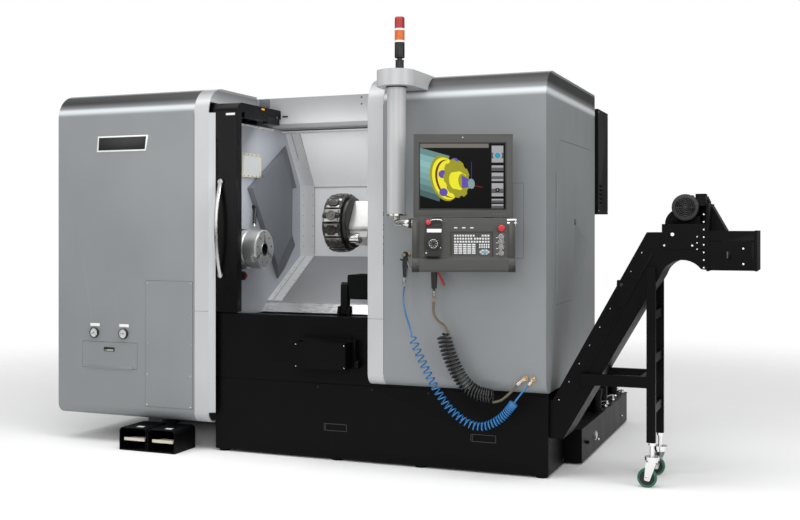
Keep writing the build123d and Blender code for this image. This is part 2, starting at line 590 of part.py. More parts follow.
def chuck_body():
    """The power chuck and the spindle that carries it, bored through, with T slots for the jaws."""
    rear = X_CHUCK_FACE - CHUCK_LENGTH
    outline = [(rear, CHUCK_BORE), (X_CHUCK_FACE, CHUCK_BORE), (X_CHUCK_FACE, CHUCK_RADIUS - 6),
               (X_CHUCK_FACE - 5, CHUCK_RADIUS), (rear + 50, CHUCK_RADIUS), (rear + 46, CHUCK_RADIUS - 5),
               (rear + 34, CHUCK_RADIUS - 5),
               (rear + 30, CHUCK_RADIUS), (rear, CHUCK_RADIUS), (rear, SPINDLE_RADIUS + 18),
               (rear - 14, SPINDLE_RADIUS + 18),
               (rear - 14, SPINDLE_RADIUS), (rear - SPINDLE_LENGTH, SPINDLE_RADIUS),
               (rear - SPINDLE_LENGTH, CHUCK_BORE)]
    face = make_face(Polyline(*outline, close=True))
    body = revolve(face, Axis.X, 360)
    for index in range(3):
        neck = block((X_CHUCK_FACE - JAW_LIP - FIT, X_CHUCK_FACE + 1),
                     (-JAW_NECK / 2 - FIT, JAW_NECK / 2 + FIT), (0, CHUCK_RADIUS + 1))
        foot = block((X_CHUCK_FACE - JAW_DEPTH - FIT, X_CHUCK_FACE - JAW_LIP + FIT),
                     (-JAW_FOOT / 2 - FIT, JAW_FOOT / 2 + FIT),
                     (0, CHUCK_RADIUS + 1))
        body -= Rot(jaw_angle(index) - 90, 0, 0) * (neck + foot)
        for spread in (-28, 28):
            screw = Pos(X_CHUCK_FACE - 9, 0, 0) * Rot(jaw_angle(index) - 90 + 60 + spread / 1.4, 0,
                                                      0) * Pos(0, 0, 76) * Rot(0, 90, 0)
            body -= screw * Cylinder(7, 20)
    return Pos(0, SPINDLE_Y, SPINDLE_Z) * body


def chuck_jaw(index):
    """One master jaw, a T that slides in its slot, with two bolt holes and a serrated face."""
    foot = block((X_CHUCK_FACE - JAW_DEPTH, X_CHUCK_FACE - JAW_LIP), (-JAW_FOOT / 2, JAW_FOOT / 2),
                 (JAW_INNER, JAW_OUTER))
    neck = block((X_CHUCK_FACE - JAW_LIP - 1, X_CHUCK_FACE), (-JAW_NECK / 2, JAW_NECK / 2),
                 (JAW_INNER, JAW_OUTER))
    jaw = foot + neck
    for radius in (58, 82):
        jaw -= rod_x(6, (X_CHUCK_FACE - 24, X_CHUCK_FACE + 1), 0, radius)
    return turned(jaw, jaw_angle(index) - 90)


# Turret
def slant(along, out):
    """A (Y, Z) point in the cross slide's frame: along its travel, and out towards the front."""
    a = radians(SLANT)
    return (TURRET_Y + along * cos(a) - out * sin(a), TURRET_Z + along * sin(a) + out * cos(a))


def turret_disc():
    """The twelve-sided turret head, with a socket in each flat and a bored hub."""
    flat = RegularPolygon(TURRET_RADIUS, STATIONS, rotation=15)
    disc = extrude(flat, amount=TURRET_WIDTH)
    disc = chamfer(disc.faces().sort_by(Axis.Z)[0].edges() + disc.faces().sort_by(Axis.Z)[-1].edges(), 9)
    disc -= Pos(0, 0, -1) * Cylinder(92, 15, align=(Align.CENTER, Align.CENTER, Align.MIN))
    disc += Pos(0, 0, 4) * Cylinder(60, 12, align=(Align.CENTER, Align.CENTER, Align.MIN))
    disc += Pos(0, 0, TURRET_WIDTH) * Cylinder(TURRET_RADIUS - 22, TURRET_RING,
                                               align=(Align.CENTER, Align.CENTER, Align.MIN))
    reach = TURRET_RADIUS * cos(radians(180 / STATIONS))
    for index in range(STATIONS):
        mouth = Rot(0, 0, 360 / STATIONS * index) * Pos(reach, 0, TURRET_WIDTH / 2)
        disc -= mouth * Rot(0, 90, 0) * Cylinder(STATION_BORE, 40)
    return Pos(X_TURRET, TURRET_Y, TURRET_Z) * Rot(0, 90, 0) * disc


MOTOR_PLACE = (250.0, 1129.0)
QUILL_RADIUS = 27.0
SNOUT = 110.0


def turret_housing():
    """The turret's housing on its cross slide, with the driven-tool motor below and a drive behind."""
    x = (X_HOUSING, X_HOUSING + HOUSING_LENGTH)
    corners = [slant(-HOUSING_LOW, HOUSING_FRONT), slant(HOUSING_HIGH, HOUSING_FRONT),
               slant(HOUSING_HIGH, SLIDE_FIT - HOUSING_BACK), slant(-HOUSING_LOW, SLIDE_FIT - HOUSING_BACK)]
    housing = along_x(corners, x, 14.0)
    housing += rod_x(QUILL_RADIUS, (x[0], x[0] + 54), *MOTOR_PLACE)
    housing += along_x([slant(-HOUSING_LOW - 30, 30), slant(-HOUSING_LOW + 20, 50),
                        slant(-HOUSING_LOW + 20, -60),
                        slant(-HOUSING_LOW - 30, -60)], (x[0], x[0] + 100), 6.0)
    housing += rod_x(62, (x[1] - 1, x[1] + SNOUT), TURRET_Y, TURRET_Z)
    return housing


CARRIAGE_LEFT = 280.0
COVER_LAP = 40.0
COVER_PLATE = 3.0


def saddle():
    """The saddle that runs on the bed's rails: carriage, slanted cross way and its cover plate."""
    x = (X_HOUSING + 10, X_HOUSING + HOUSING_LENGTH)
    low = slant((SADDLE_BOTTOM - slant(0, -HOUSING_BACK)[1]) / sin(radians(SLANT)), -HOUSING_BACK)
    high = slant((SADDLE_TOP - slant(0, -HOUSING_BACK)[1]) / sin(radians(SLANT)), -HOUSING_BACK)
    plate_y = BAND_Y + COVER_STEP
    arm = along_x([low, (plate_y, SADDLE_BOTTOM), (plate_y, SADDLE_TOP), high], x)
    plate = block((X_TURRET - 10, X_WALL_RIGHT - 10), (plate_y, plate_y + 4),
                  (BAND_BOTTOM + 10, BAND_TOP - 10))
    carriage_z = (RAIL_Z[0] - 20, RAIL_Z[1] + RAIL_SIZE + 20)
    carriage = block((x[0] - 60, x[1] + 60), (plate_y + 4, RAIL_FACE), carriage_z)
    pocket_y = (plate_y + 4, plate_y + 4 + COVER_PLATE + 3 * FIT)
    pocket_x = (x[0] - 61, X_TURRET + COVER_LAP + CARRIAGE_LEFT / 2 + 4)
    carriage -= block(pocket_x, pocket_y, (carriage_z[0] - 1, carriage_z[1] + 1))
    arm -= block(pocket_x, pocket_y, (BAND_BOTTOM, BAND_TOP))
    return arm + plate + carriage


def way_cover():
    """The telescopic cover plate between the raised end strip and the saddle's own plate."""
    y = BAND_Y + COVER_STEP + 4 + FIT
    x = (X_WALL_LEFT - 24, X_TURRET + COVER_LAP)
    plate = block(x, (y, y + COVER_PLATE), (BAND_BOTTOM + 10, BAND_TOP - 10))
    return plate + block((x[0], x[0] + 16), (y + COVER_PLATE, y + 12), (BAND_BOTTOM + 10, BAND_TOP - 10))


def catcher_arm():
    """The parts catcher: a post on its pivot and a hollow basket that swings up under the work."""
    y, z = CATCHER_PIVOT
    post_x = (CATCHER_X[0], CATCHER_X[0] + CATCHER_POST)
    arm = along_x([(y - 17, z - 28), (y + 17, z - 28), (y + 34, 884), (y + 4, 904), (y - 12, 890)], post_x,
                  6.0)
    basket = block((post_x[1] - 3, CATCHER_X[1]), (y - 4, y + 150), (815, 941))
    basket = fillet(basket.edges().filter_by(Axis.Y), 10)
    basket -= block((post_x[1] + 5, CATCHER_X[1] - 8), (y + 4, y + 142), (824, 951))
    return arm + basket + rod_x(CATCHER_PIN, (post_x[0] - 20, post_x[1] + 20), y, z)


# Parts bin
BIN_X = (-1292.0, -1008.0)
BIN_FRONT = -40.0
BIN_Z = (472.0, 606.0)


def parts_bin():
    """The open bin hung on the apron, with its front panel and the bracket beside it."""
    outer = block(BIN_X, (BIN_FRONT, BASE_FRONT), BIN_Z)
    outer += block((BIN_X[0], BIN_X[1]), (BASE_FRONT - 5, BASE_FRONT), (BIN_Z[1] - 1, BIN_Z[1] + 24))
    inner = block((BIN_X[0] + 4, BIN_X[1] - 4), (BIN_FRONT + 4, BASE_FRONT - 5),
                  (BIN_Z[0] + 4, BIN_Z[1] + 40))
    bracket = along_x([(BASE_FRONT, BIN_Z[0] + 4), (BASE_FRONT, BIN_Z[1] + 12), (5, BIN_Z[1] + 12),
                       (5, BIN_Z[0] + 40), (20, BIN_Z[0] + 4)],
                      (BIN_X[1] + 26, BIN_X[1] + 34), 3.0)
    bracket += block((BIN_X[1] - 1, BIN_X[1] + 34), (BASE_FRONT - 5, BASE_FRONT),
                     (BIN_Z[0] + 4, BIN_Z[1] + 12))
    bracket += rod_x(22, (BIN_X[1] + 34, BIN_X[1] + 50), BASE_FRONT - 24, BIN_Z[0] + 26)
    return outer - inner + bracket


# Cooling unit on the back
COOLER_X = (-600.0, 14.0)
COOLER_Z = (1262.0, 1857.0)
COOLER_GAP = 25.0
COOLER_DEPTH = 294.0
COOLER_NECK = 20.0
FAN_RADIUS = 120.0


def cooling_unit():
    """The cooling unit of the electrical cabinet, on the back, with louvres and a round fan opening."""
    front, back = CABINET_DEPTH + COOLER_GAP, CABINET_DEPTH + COOLER_GAP + COOLER_DEPTH
    fan_x, fan_z = (COOLER_X[0] + COOLER_X[1]) / 2 - 7, COOLER_Z[1] - 197
    neck_z = (COOLER_Z[0] + 28, COOLER_Z[1] - 27)
    body = block(COOLER_X, (front, back), COOLER_Z)
    body += block((COOLER_X[0] + COOLER_NECK, X_RIGHT - COOLER_NECK), (CABINET_DEPTH, front + 1), neck_z)
    body -= rod_y(FAN_RADIUS, fan_x, (back - 14, back + 1), fan_z)
    for row in range(8):
        z = 1300 + 26 * row
        body -= block((-500, -100), (1449, 1460), (z, z + 10))
    for row in range(5):
        body -= block((4, 15), (1200, 1270), (1320 + 24 * row, 1330 + 24 * row))
    return body


# Pendant and stack light
def pendant_post():
    """The bracket on the cabinet's roof and the column that hangs from it, bored for the arm."""
    centre = (PENDANT_X, PENDANT_Y)
    nose = rod_z(PENDANT_ARM_RADIUS, centre[0], centre[1], (PENDANT_BOTTOM, PENDANT_TOP))
    web = along_z([(centre[0] - PENDANT_ARM_RADIUS, centre[1]), (centre[0] + PENDANT_ARM_RADIUS, centre[1]),
                   (centre[0] + PENDANT_ARM_RADIUS + 8, 215), (centre[0] - PENDANT_ARM_RADIUS - 8, 215)],
                  (PENDANT_BOTTOM, PENDANT_TOP))
    bracket = nose + web
    bracket -= cabinet_body(RIGHT_BOTTOM, (X_OPENING_RIGHT - 10, X_RIGHT))
    column = rod_z(COLUMN_RADIUS, centre[0], centre[1], (COLUMN_BOTTOM, PENDANT_BOTTOM + 1))
    column += rod_z(COLUMN_RADIUS + 3, centre[0], centre[1], (COLUMN_BOTTOM, COLUMN_BOTTOM + 10))
    column -= rod_z(ARM_TUBE + FIT, centre[0], centre[1], (COLUMN_BOTTOM - 1, COLUMN_BOTTOM + 120 + FIT))
    return bracket + column


def stack_light():
    """The signal tower: red and amber lamps on a black foot, with white rings between."""
    x, y = PENDANT_X + 12, PENDANT_Y + 10
    steps = [(21, 12), (20, 40), (12, 10), (24, 73), (25, 9), (24, 48), (25, 9), (24, 49), (22, 9)]
    outline = [(0.0, PENDANT_TOP)]
    for radius, height in steps:
        low = outline[-1][1]
        outline += [(radius, low), (radius, low + height)]
    outline.append((0.0, outline[-1][1]))
    tower = revolve(make_face(Plane.XZ * Polyline(*outline, close=True)), Axis.Z, 360)
    return Pos(x, y, 0) * tower


# Console, made in its own frame and then turned and put in place
def in_place(shape):
    """Put a shape from the console's frame into the machine's frame."""
    return Location((CONSOLE_X, CONSOLE_Y, 0), (0, 0, CONSOLE_TURN)) * shape


def console_point(x, y, z):
    """A point of the console's frame in the machine's frame."""
    a = radians(CONSOLE_TURN)
    return (CONSOLE_X + x * cos(a) - y * sin(a), CONSOLE_Y + x * sin(a) + y * cos(a), z)


def console_arm():
    """The chrome tube from the column through the console's hinge line."""
    points = [(PENDANT_X, PENDANT_Y, COLUMN_BOTTOM + 120), (PENDANT_X, PENDANT_Y, HINGE_Z),
              console_point(-34, HINGE_DEPTH, HINGE_Z),
              console_point(MONITOR_WIDTH + 14, HINGE_DEPTH, HINGE_Z)]
    path = FilletPolyline(*points, radius=[34, 34])
    return sweep(Plane(path @ 0, z_dir=path % 0) * Circle(ARM_TUBE), path)


def console_monitor():
    """The monitor's case, with its screen recessed behind a bezel."""
    case = block((0, MONITOR_WIDTH), (0, MONITOR_DEPTH), (MONITOR_BOTTOM, MONITOR_TOP))
    case = fillet(case.edges().filter_by(Axis.Y), 7)
    case = chamfer(case.faces().sort_by(Axis.Y)[0].edges(), 2.5)
    case -= block(SCREEN_X, (-1, 2.2), SCREEN_Z)
    bulge = block((40, MONITOR_WIDTH - 40), (MONITOR_DEPTH - 1, MONITOR_DEPTH + 22),
                  (MONITOR_BOTTOM + 40, MONITOR_TOP - 50))
    case += fillet(bulge.edges().filter_by(Axis.Y), 16)
    for x in (90, MONITOR_WIDTH - 130):
        case += block((x, x + 40), (12, 48), (MONITOR_BOTTOM - 1.5, MONITOR_BOTTOM + 1))
    return in_place(case)


PANEL_X = (-7.0, MONITOR_WIDTH + 9.0)
PANEL_FACE = -8.0
PANEL_LIP = -26.0
BUTTON_X = MONITOR_WIDTH - 55.0
BUTTON_Z = (1140.0, 1116.0, 1090.0, 1065.0)
BUTTON_RADIUS = 9.5
BUTTON_TRAVEL = 3.0
ESTOP_Z = 1179.0
ESTOP_RADIUS = 15.5
HANDSET_X = (48.0, 130.0)
HANDSET_Z = (1051.0, 1214.0)
HANDSET_DEPTH = 32.0
HANDSET_STOP = (66.0, 1205.0)
HANDSET_STOP_RADIUS = 12.0
WHEEL_CENTRE = (89.0, 1108.0)
DIAL_RADIUS = 27.0
KEYPAD_X = (153.0, MONITOR_WIDTH - 96.0)
KEYPAD_Z = (1056.0, 1161.0)


def console_panel():
    """The operator panel under the monitor: a case with a lip, cheeks, a keypad recess and button wells."""
    back = MONITOR_DEPTH + 4
    profile = [(PANEL_FACE, MONITOR_BOTTOM - 2), (PANEL_FACE, 1048), (PANEL_LIP, 1036), (PANEL_LIP, 988),
               (PANEL_LIP + 12, PANEL_BOTTOM),
               (back - 14, PANEL_BOTTOM), (back, 1000), (back, MONITOR_BOTTOM - 2)]
    case = along_x(profile, PANEL_X, 3.0)
    for x in ((PANEL_X[0], PANEL_X[0] + 31), (PANEL_X[1] - 31, PANEL_X[1])):
        case += block(x, (PANEL_FACE - 7, PANEL_FACE + 4), (1036, MONITOR_BOTTOM - 14))
    case -= block(KEYPAD_X, (PANEL_FACE - 1, PANEL_FACE + 1.5), KEYPAD_Z)
    case -= rod_x(ARM_TUBE + FIT, (PANEL_X[0] - 1, PANEL_X[1] + 1), HINGE_DEPTH, HINGE_Z)
    for z in BUTTON_Z:
        case -= rod_y(BUTTON_RADIUS + FIT, BUTTON_X, (PANEL_FACE - 1, PANEL_FACE + 12), z)
    case -= rod_y(6 + FIT, BUTTON_X, (PANEL_FACE - 1, PANEL_FACE + 16), ESTOP_Z)
    return in_place(case)


def push_button(index):
    """One lit push button: a cap on its stem, in its well."""
    z = BUTTON_Z[index]
    button = rod_y(BUTTON_RADIUS, BUTTON_X, (PANEL_FACE - 5, PANEL_FACE + 7), z)
    return in_place(button + rod_y(BUTTON_RADIUS - 2, BUTTON_X, (PANEL_FACE - 7, PANEL_FACE - 4), z))


def console_estop():
    """The red mushroom stop button of the panel."""
    head = rod_y(ESTOP_RADIUS, BUTTON_X, (PANEL_FACE - 22, PANEL_FACE - 12), ESTOP_Z)
    head = fillet(head.faces().sort_by(Axis.Y)[0].edges(), 4)
    return in_place(head + rod_y(6, BUTTON_X, (PANEL_FACE - 13, PANEL_FACE + 10), ESTOP_Z))


def handset():
    """The hand-held wheel unit in its rest: a waisted case with a carrying loop."""
    front = PANEL_FACE - HANDSET_DEPTH
    low, high = HANDSET_Z
    outline = [(HANDSET_X[0] + 8, low), (HANDSET_X[1] - 8, low), (HANDSET_X[1] - 2, low + 30),
               (HANDSET_X[1] - 2, low + 84),
               (HANDSET_X[1] - 10, low + 104), (HANDSET_X[1] - 6, high - 24), (HANDSET_X[0] + 6, high - 24),
               (HANDSET_X[0] + 10, low + 104), (HANDSET_X[0] + 2, low + 84), (HANDSET_X[0] + 2, low + 30)]
    case = along_y(outline, (front, PANEL_FACE), 5.0)
    loop = block((HANDSET_X[0] + 26, HANDSET_X[1]), (front + 8, front + 20), (high - 32, high))
    loop = fillet(loop.edges().filter_by(Axis.Y), 8)
    loop -= block((HANDSET_X[0] + 38, HANDSET_X[1] - 7), (front, front + 30), (high - 24, high - 7))
    case += loop
    case -= rod_y(5 + FIT, WHEEL_CENTRE[0], (front - 1, front + 14), WHEEL_CENTRE[1])
    stop_x, stop_z = HANDSET_STOP
    case += rod_y(HANDSET_STOP_RADIUS, stop_x, (front, PANEL_FACE), stop_z)
    case -= rod_y(4 + FIT, stop_x, (front - 1, front + 12), stop_z)
    return in_place(case)


def handset_wheel():
    """The handwheel of the hand-held unit, with a rim and a finger hollow."""
    front = PANEL_FACE - HANDSET_DEPTH
    wheel = rod_y(DIAL_RADIUS, WHEEL_CENTRE[0], (front - 11, front - 1), WHEEL_CENTRE[1])
    wheel -= rod_y(DIAL_RADIUS - 6, WHEEL_CENTRE[0], (front - 12, front - 7), WHEEL_CENTRE[1])
    wheel -= Pos(WHEEL_CENTRE[0] + 12, front - 8, WHEEL_CENTRE[1] + 8) * Sphere(6)
    return in_place(wheel + rod_y(5, WHEEL_CENTRE[0], (front - 7, front + 12), WHEEL_CENTRE[1]))


def handset_estop():
    """The small red stop button of the hand-held unit."""
    front = PANEL_FACE - HANDSET_DEPTH
    x, z = HANDSET_STOP
    head = rod_y(HANDSET_STOP_RADIUS, x, (front - 14, front - 6), z)
    head = fillet(head.faces().sort_by(Axis.Y)[0].edges(), 3)
    return in_place(head + rod_y(4, x, (front - 7, front + 8), z))


# Guns, pegs and wall fittings
AIR_GUN_X = -686.0
COOLANT_GUN_X = -537.0
GUN_Y = -44.0
AIR_PEG_Z = 1050.0
COOLANT_PEG_Z = 1022.0
PEG_RADIUS = 5.0
AIR_WALL = (-58.0, 473.0)
COOLANT_WALL = (-96.0, 475.0)
AIR_EXIT = (AIR_GUN_X - 6, GUN_Y, 896.0)
COOLANT_EXIT = (COOLANT_GUN_X - 2, GUN_Y, 845.0)
AIR_LEVER = 48.0
COOLANT_LEVER = 88.0
AIR_TAIL_END = (-66.0, -30.0, 458.0)
COOLANT_TAIL_END = (-118.0, -32.0, 458.0)
AIR_HOSE = 4.0
COOLANT_HOSE = 6.0


def hose_fittings():
    """The two wall fittings of the hoses and the two pegs that the guns hang from."""
    parts = []
    for wall, end, size in ((AIR_WALL, AIR_TAIL_END, 8.0), (COOLANT_WALL, COOLANT_TAIL_END, 9.0)):
        hexagon = Pos(wall[0], 0, wall[1]) * Rot(90, 0, 0) * extrude(RegularPolygon(size + 4, 6), amount=14)
        stub = rod_y(size, wall[0], (end[1] - 6, -13), wall[1])
        start = Vector(wall[0], end[1], wall[1])
        reach = Vector(*end) - start
        branch = Plane(start, z_dir=reach) * Cylinder(size - 1, reach.length,
                                                      align=(Align.CENTER, Align.CENTER, Align.MIN))
        parts.append(hexagon + stub + branch)
    for x, z in ((AIR_GUN_X, AIR_PEG_Z), (COOLANT_GUN_X, COOLANT_PEG_Z)):
        peg = rod_y(PEG_RADIUS, x, (GUN_Y - 16, 0), z) + rod_y(PEG_RADIUS + 6, x, (-5, 0), z)
        parts.append(peg + rod_y(PEG_RADIUS + 3, x, (GUN_Y - 20, GUN_Y - 15), z))
    return Compound(children=[solid for part in parts for solid in part.solids()])


def gun_body(x, peg_z, exit_point, width):
    """A blow gun's body hanging by its ring: grip, head, nozzle and hose stub."""
    ring = rod_y(15, x, (GUN_Y - 5, GUN_Y + 5), peg_z) - rod_y(PEG_RADIUS + FIT, x, (GUN_Y - 6, GUN_Y + 6),
                                                               peg_z)
    half = width / 2
    top = peg_z - 12
    grip = along_y([(x - half, top), (x + half, top), (x + half + 2, top - 34),
                    (x + half - 3, exit_point[2] + 44),
                    (x - half + 1, exit_point[2] + 44), (x - half - 3, top - 34)], (GUN_Y - 9, GUN_Y + 9),
                    3.0)
    stub = rod_z(6.5, exit_point[0], GUN_Y, (exit_point[2], exit_point[2] + 48))
    nozzle = Plane((x - half, GUN_Y, top - 16), z_dir=(-1, 0, 0.35)) * Cylinder(5, 34)
    return ring + grip + stub + nozzle


LEVER_LEAN = 0.5
LEVER_PIVOT = 3.6


def gun_trigger(x, peg_z, drop):
    """A gun's lever: a bent strip on a pin beside the grip."""
    top = peg_z - 28
    lean = LEVER_LEAN * drop
    outline = [(x + 3, top), (x + 9, top), (x + 10 + lean, top - drop), (x + 4 + lean, top - drop - 4)]
    return along_y(outline, (GUN_Y - 7, GUN_Y + 7)) + rod_y(LEVER_PIVOT, x + 6, (GUN_Y - 7, GUN_Y + 7), top)


def air_gun():
    """The air gun, on its peg."""
    return gun_body(AIR_GUN_X, AIR_PEG_Z, AIR_EXIT, 20) - gun_slot(AIR_GUN_X, AIR_PEG_Z)


def air_gun_trigger():
    """The lever of the air gun."""
    return gun_trigger(AIR_GUN_X, AIR_PEG_Z, AIR_LEVER)


def coolant_gun():
    """The coolant gun, on its peg."""
    return gun_body(COOLANT_GUN_X, COOLANT_PEG_Z, COOLANT_EXIT, 24) - gun_slot(COOLANT_GUN_X, COOLANT_PEG_Z)


def coolant_gun_trigger():
    """The red lever of the coolant gun."""
    return gun_trigger(COOLANT_GUN_X, COOLANT_PEG_Z, COOLANT_LEVER)


def gun_slot(x, peg_z):
    """The room that a gun's lever needs in its grip, open to the right."""
    top = peg_z - 28
    return along_y([(x + 2, top + 9), (x + 40, top + 9), (x + 40, top - 60), (x + 8, top - 34),
                    (x + 2, top - 20)],
                   (GUN_Y - 7 - FIT, GUN_Y + 7 + FIT))


# Hoses, each a lead tube, one closed solid of the coil's outer shape, and a tail tube
AIR_LEAD = [AIR_EXIT, (-698, -46, 846), (-690, -54, 800), (-673, -66, 750), (-650, -78, 704),
            (-638, -84, 666)]
AIR_COIL = [(-638, -84, 666), (-620, -87, 616), (-596, -87, 567), (-567, -87, 510), (-536, -87, 450),
            (-501, -87, 396),
            (-460, -87, 340), (-412, -87, 296), (-360, -87, 262), (-304, -87, 246), (-250, -87, 258),
            (-200, -87, 288),
            (-162, -87, 326), (-132, -84, 368)]
AIR_TAIL = [(-132, -84, 368), (-116, -74, 392), (-98, -58, 418), (-80, -42, 440), AIR_TAIL_END]
COOLANT_LEAD = [COOLANT_EXIT, (-543, -44, 800), (-538, -46, 760), (-512, -50, 730), (-478, -54, 714),
                (-462, -56, 680)]
COOLANT_COIL = [(-486, -57, 676), (-474, -58, 622), (-454, -58, 568), (-433, -58, 522), (-402, -58, 470),
                (-362, -58, 426), (-314, -58, 400), (-272, -58, 391), (-242, -58, 391)]
COOLANT_TAIL = [(-242, -56, 362), (-212, -52, 366), (-184, -46, 386), (-160, -40, 410), (-138, -35, 436),
                COOLANT_TAIL_END]
AIR_COIL_RADIUS = 22.0
COOLANT_COIL_RADIUS = 37.0


def bend_radii(points):
    """The radius of each corner: 0.45 of the shorter run, divided by the tangent of half the turn."""
    vectors = [Vector(*point) for point in points]
    radii = []
    for before, corner, after in zip(vectors, vectors[1:], vectors[2:]):
        run_in, run_out = corner - before, after - corner
        half_turn = radians(run_in.get_angle(run_out)) / 2
        radii.append(0.45 * min(run_in.length, run_out.length) / tan(half_turn))
    return radii


def tube(points, radius, name):
    """A round tube along straight runs joined by tangent arcs."""
    radii = bend_radii(points)
    print(name, "bend radii", [round(value) for value in radii])
    path = FilletPolyline(*points, radius=radii)
    return sweep(Plane(path @ 0, z_dir=path % 0) * Circle(radius), path)


# Chip conveyor
def trough_line(z, lower=False):
    """The X of the inclined trough's top or bottom line at one height."""
    lean = (HEAD_X - BEND_TOP_X) / (HEAD_TOP - TROUGH_TOP)
    start = BEND_TOP_X + (TROUGH_THROAT if lower else 0.0)
    return start + (z - TROUGH_TOP) * lean


TROUGH_THROAT = 150.0
ARCH_LEFT = (512.0, 962.0)
ARCH_TOP = (600.0, 1034.0)
ARCH_RIGHT = (690.0, 994.0)


def trough_section(inset, y):
    """The conveyor's body from the side, drawn in by an inset and spread between two Y places."""
    lower_bend = trough_line(TROUGH_BOTTOM, True)
    lean_shift = inset * 0.55
    edge = Polyline((ARCH_RIGHT[0], ARCH_RIGHT[1] + inset), (FLANGE_X + 10, CHUTE_BOTTOM + inset),
                    (FLANGE_X + 10, HEAD_TOP - inset),
                    (HEAD_X + lean_shift, HEAD_TOP - inset), (BEND_TOP_X + lean_shift, TROUGH_TOP - inset),
                    (TROUGH_LEFT + inset, TROUGH_TOP - inset), (TROUGH_LEFT + inset, TROUGH_BOTTOM + inset),
                    (lower_bend - lean_shift, TROUGH_BOTTOM + inset),
                    (ARCH_LEFT[0] - inset, ARCH_LEFT[1] + inset))
    arch = ThreePointArc((ARCH_LEFT[0] - inset, ARCH_LEFT[1] + inset), (ARCH_TOP[0], ARCH_TOP[1] + inset),
                         (ARCH_RIGHT[0], ARCH_RIGHT[1] + inset))
    face = make_face(Location((0, 0, 0), (90, 0, 0)) * (edge + arch))
    return Pos(0, y[0], 0) * extrude(face, amount=y[1] - y[0], dir=(0, 1, 0))


def conveyor_trough():
    """The conveyor's body: open trough, closed incline, arched head and the discharge box."""
    inner_y = (TROUGH_Y[0] + PLATE, TROUGH_Y[1] - PLATE)
    body = trough_section(0, TROUGH_Y) - trough_section(PLATE, inner_y)
    body -= block((TROUGH_LEFT + PLATE, -120), inner_y, (TROUGH_TOP - PLATE - 1, TROUGH_TOP + 1))
    box_y = (TROUGH_Y[0] - 10, TROUGH_Y[1] + 10)
    chute = block((FLANGE_X + 10, CHUTE_RIGHT), box_y, (CHUTE_BOTTOM, HEAD_TOP + 6))
    chute -= block((FLANGE_X + 9, CHUTE_RIGHT - PLATE), (box_y[0] + PLATE, box_y[1] - PLATE),
                   (CHUTE_BOTTOM - 1, HEAD_TOP + 6 - PLATE))
    chute += block((CHUTE_RIGHT - 10, CHUTE_RIGHT), (box_y[0] - 6, box_y[1] + 6),
                   (CHUTE_BOTTOM - 2, HEAD_TOP + 8)) - block(
        (CHUTE_RIGHT - 11, CHUTE_RIGHT - PLATE), (box_y[0] + PLATE, box_y[1] - PLATE),
        (CHUTE_BOTTOM - 3, HEAD_TOP + 6 - PLATE))
    chute += block((FLANGE_X + 68, CHUTE_RIGHT - 24), (box_y[0] - 2.5, box_y[0] + 1),
                   (CHUTE_BOTTOM + 12, HEAD_TOP - 40))
    flange = block((FLANGE_X, FLANGE_X + 10), (TROUGH_Y[0] - 16, TROUGH_Y[1] + 16),
                   (CHUTE_BOTTOM - 4, HEAD_TOP + 130))
    flange -= block((FLANGE_X - 1, FLANGE_X + 11), inner_y, (CHUTE_BOTTOM + PLATE, HEAD_TOP - PLATE))
    head = block((519, FLANGE_X + 1), TROUGH_Y, (HEAD_TOP - 2, HEAD_TOP + 37))
    plate_y = (TROUGH_Y[0] - 6, TROUGH_Y[1] + 6)
    side = along_y([(519, 1084), (519, HEAD_TOP + 37), (FLANGE_X + 1, HEAD_TOP + 37), (FLANGE_X + 1, 1084)],
                   plate_y)
    side -= block((518, FLANGE_X + 2), inner_y, (1083, HEAD_TOP - PLATE))
    body += head + side + flange + chute
    for y in ((TROUGH_Y[0] - 5, TROUGH_Y[0] + 1), (TROUGH_Y[1] - 1, TROUGH_Y[1] + 5)):
        lug = along_y([(316, 940), (414, 940), (386, 880), (352, 814), (312, 814)], y, 4.0)
        body += lug - rod_y(9, 336, (y[0] - 1, y[1] + 1), 918)
    return body


MOTOR_X = 622.0
MOTOR_Z = 1272.0
MOTOR_RADIUS = 56.0
MOTOR_FINS = 16
GUARD_RADIUS = 74.0


def conveyor_motor():
    """The geared motor on the head, with its fan cowl, terminal box, foot and chain guard."""
    top = HEAD_TOP + 37
    guard_y = (TROUGH_Y[0] + 149, TROUGH_Y[1])
    motor = rod_y(MOTOR_RADIUS, MOTOR_X, (TROUGH_Y[0] - 8, TROUGH_Y[0] + 150), MOTOR_Z)
    motor = fillet(motor.faces().sort_by(Axis.Y)[0].edges(), 8)
    for index in range(MOTOR_FINS):
        fin = block((-1.5, 1.5), (TROUGH_Y[0] + 50, TROUGH_Y[0] + 140), (MOTOR_RADIUS - 2, MOTOR_RADIUS + 5))
        motor += Pos(MOTOR_X, 0, MOTOR_Z) * Rot(0, 360 / MOTOR_FINS * index, 0) * fin
    motor += block((MOTOR_X + 40, MOTOR_X + 84), (TROUGH_Y[0] + 40, TROUGH_Y[0] + 120),
                   (MOTOR_Z + 8, MOTOR_Z + 62))
    foot = block((MOTOR_X - 42, MOTOR_X + 60), (TROUGH_Y[0] + 40, TROUGH_Y[0] + 150), (top, MOTOR_Z - 40))
    guard = along_y([(655, top), (655, MOTOR_Z + 50), (672, MOTOR_Z + 56), (700, MOTOR_Z + 56),
                     (712, MOTOR_Z + 30), (712, top)],
                    guard_y, 4.0)
    guard += rod_y(GUARD_RADIUS, 586, guard_y, top) & block((500, 700), guard_y, (top, top + GUARD_RADIUS))
    rear = along_y([(FLANGE_X + 10, HEAD_TOP + 6), (FLANGE_X + 10, HEAD_TOP + 126),
                    (CHUTE_RIGHT - 138, HEAD_TOP + 6)],
                   (TROUGH_Y[0] + 110, TROUGH_Y[1]), 2.0)
    return Compound(children=(motor + foot + guard).solids() + rear.solids())


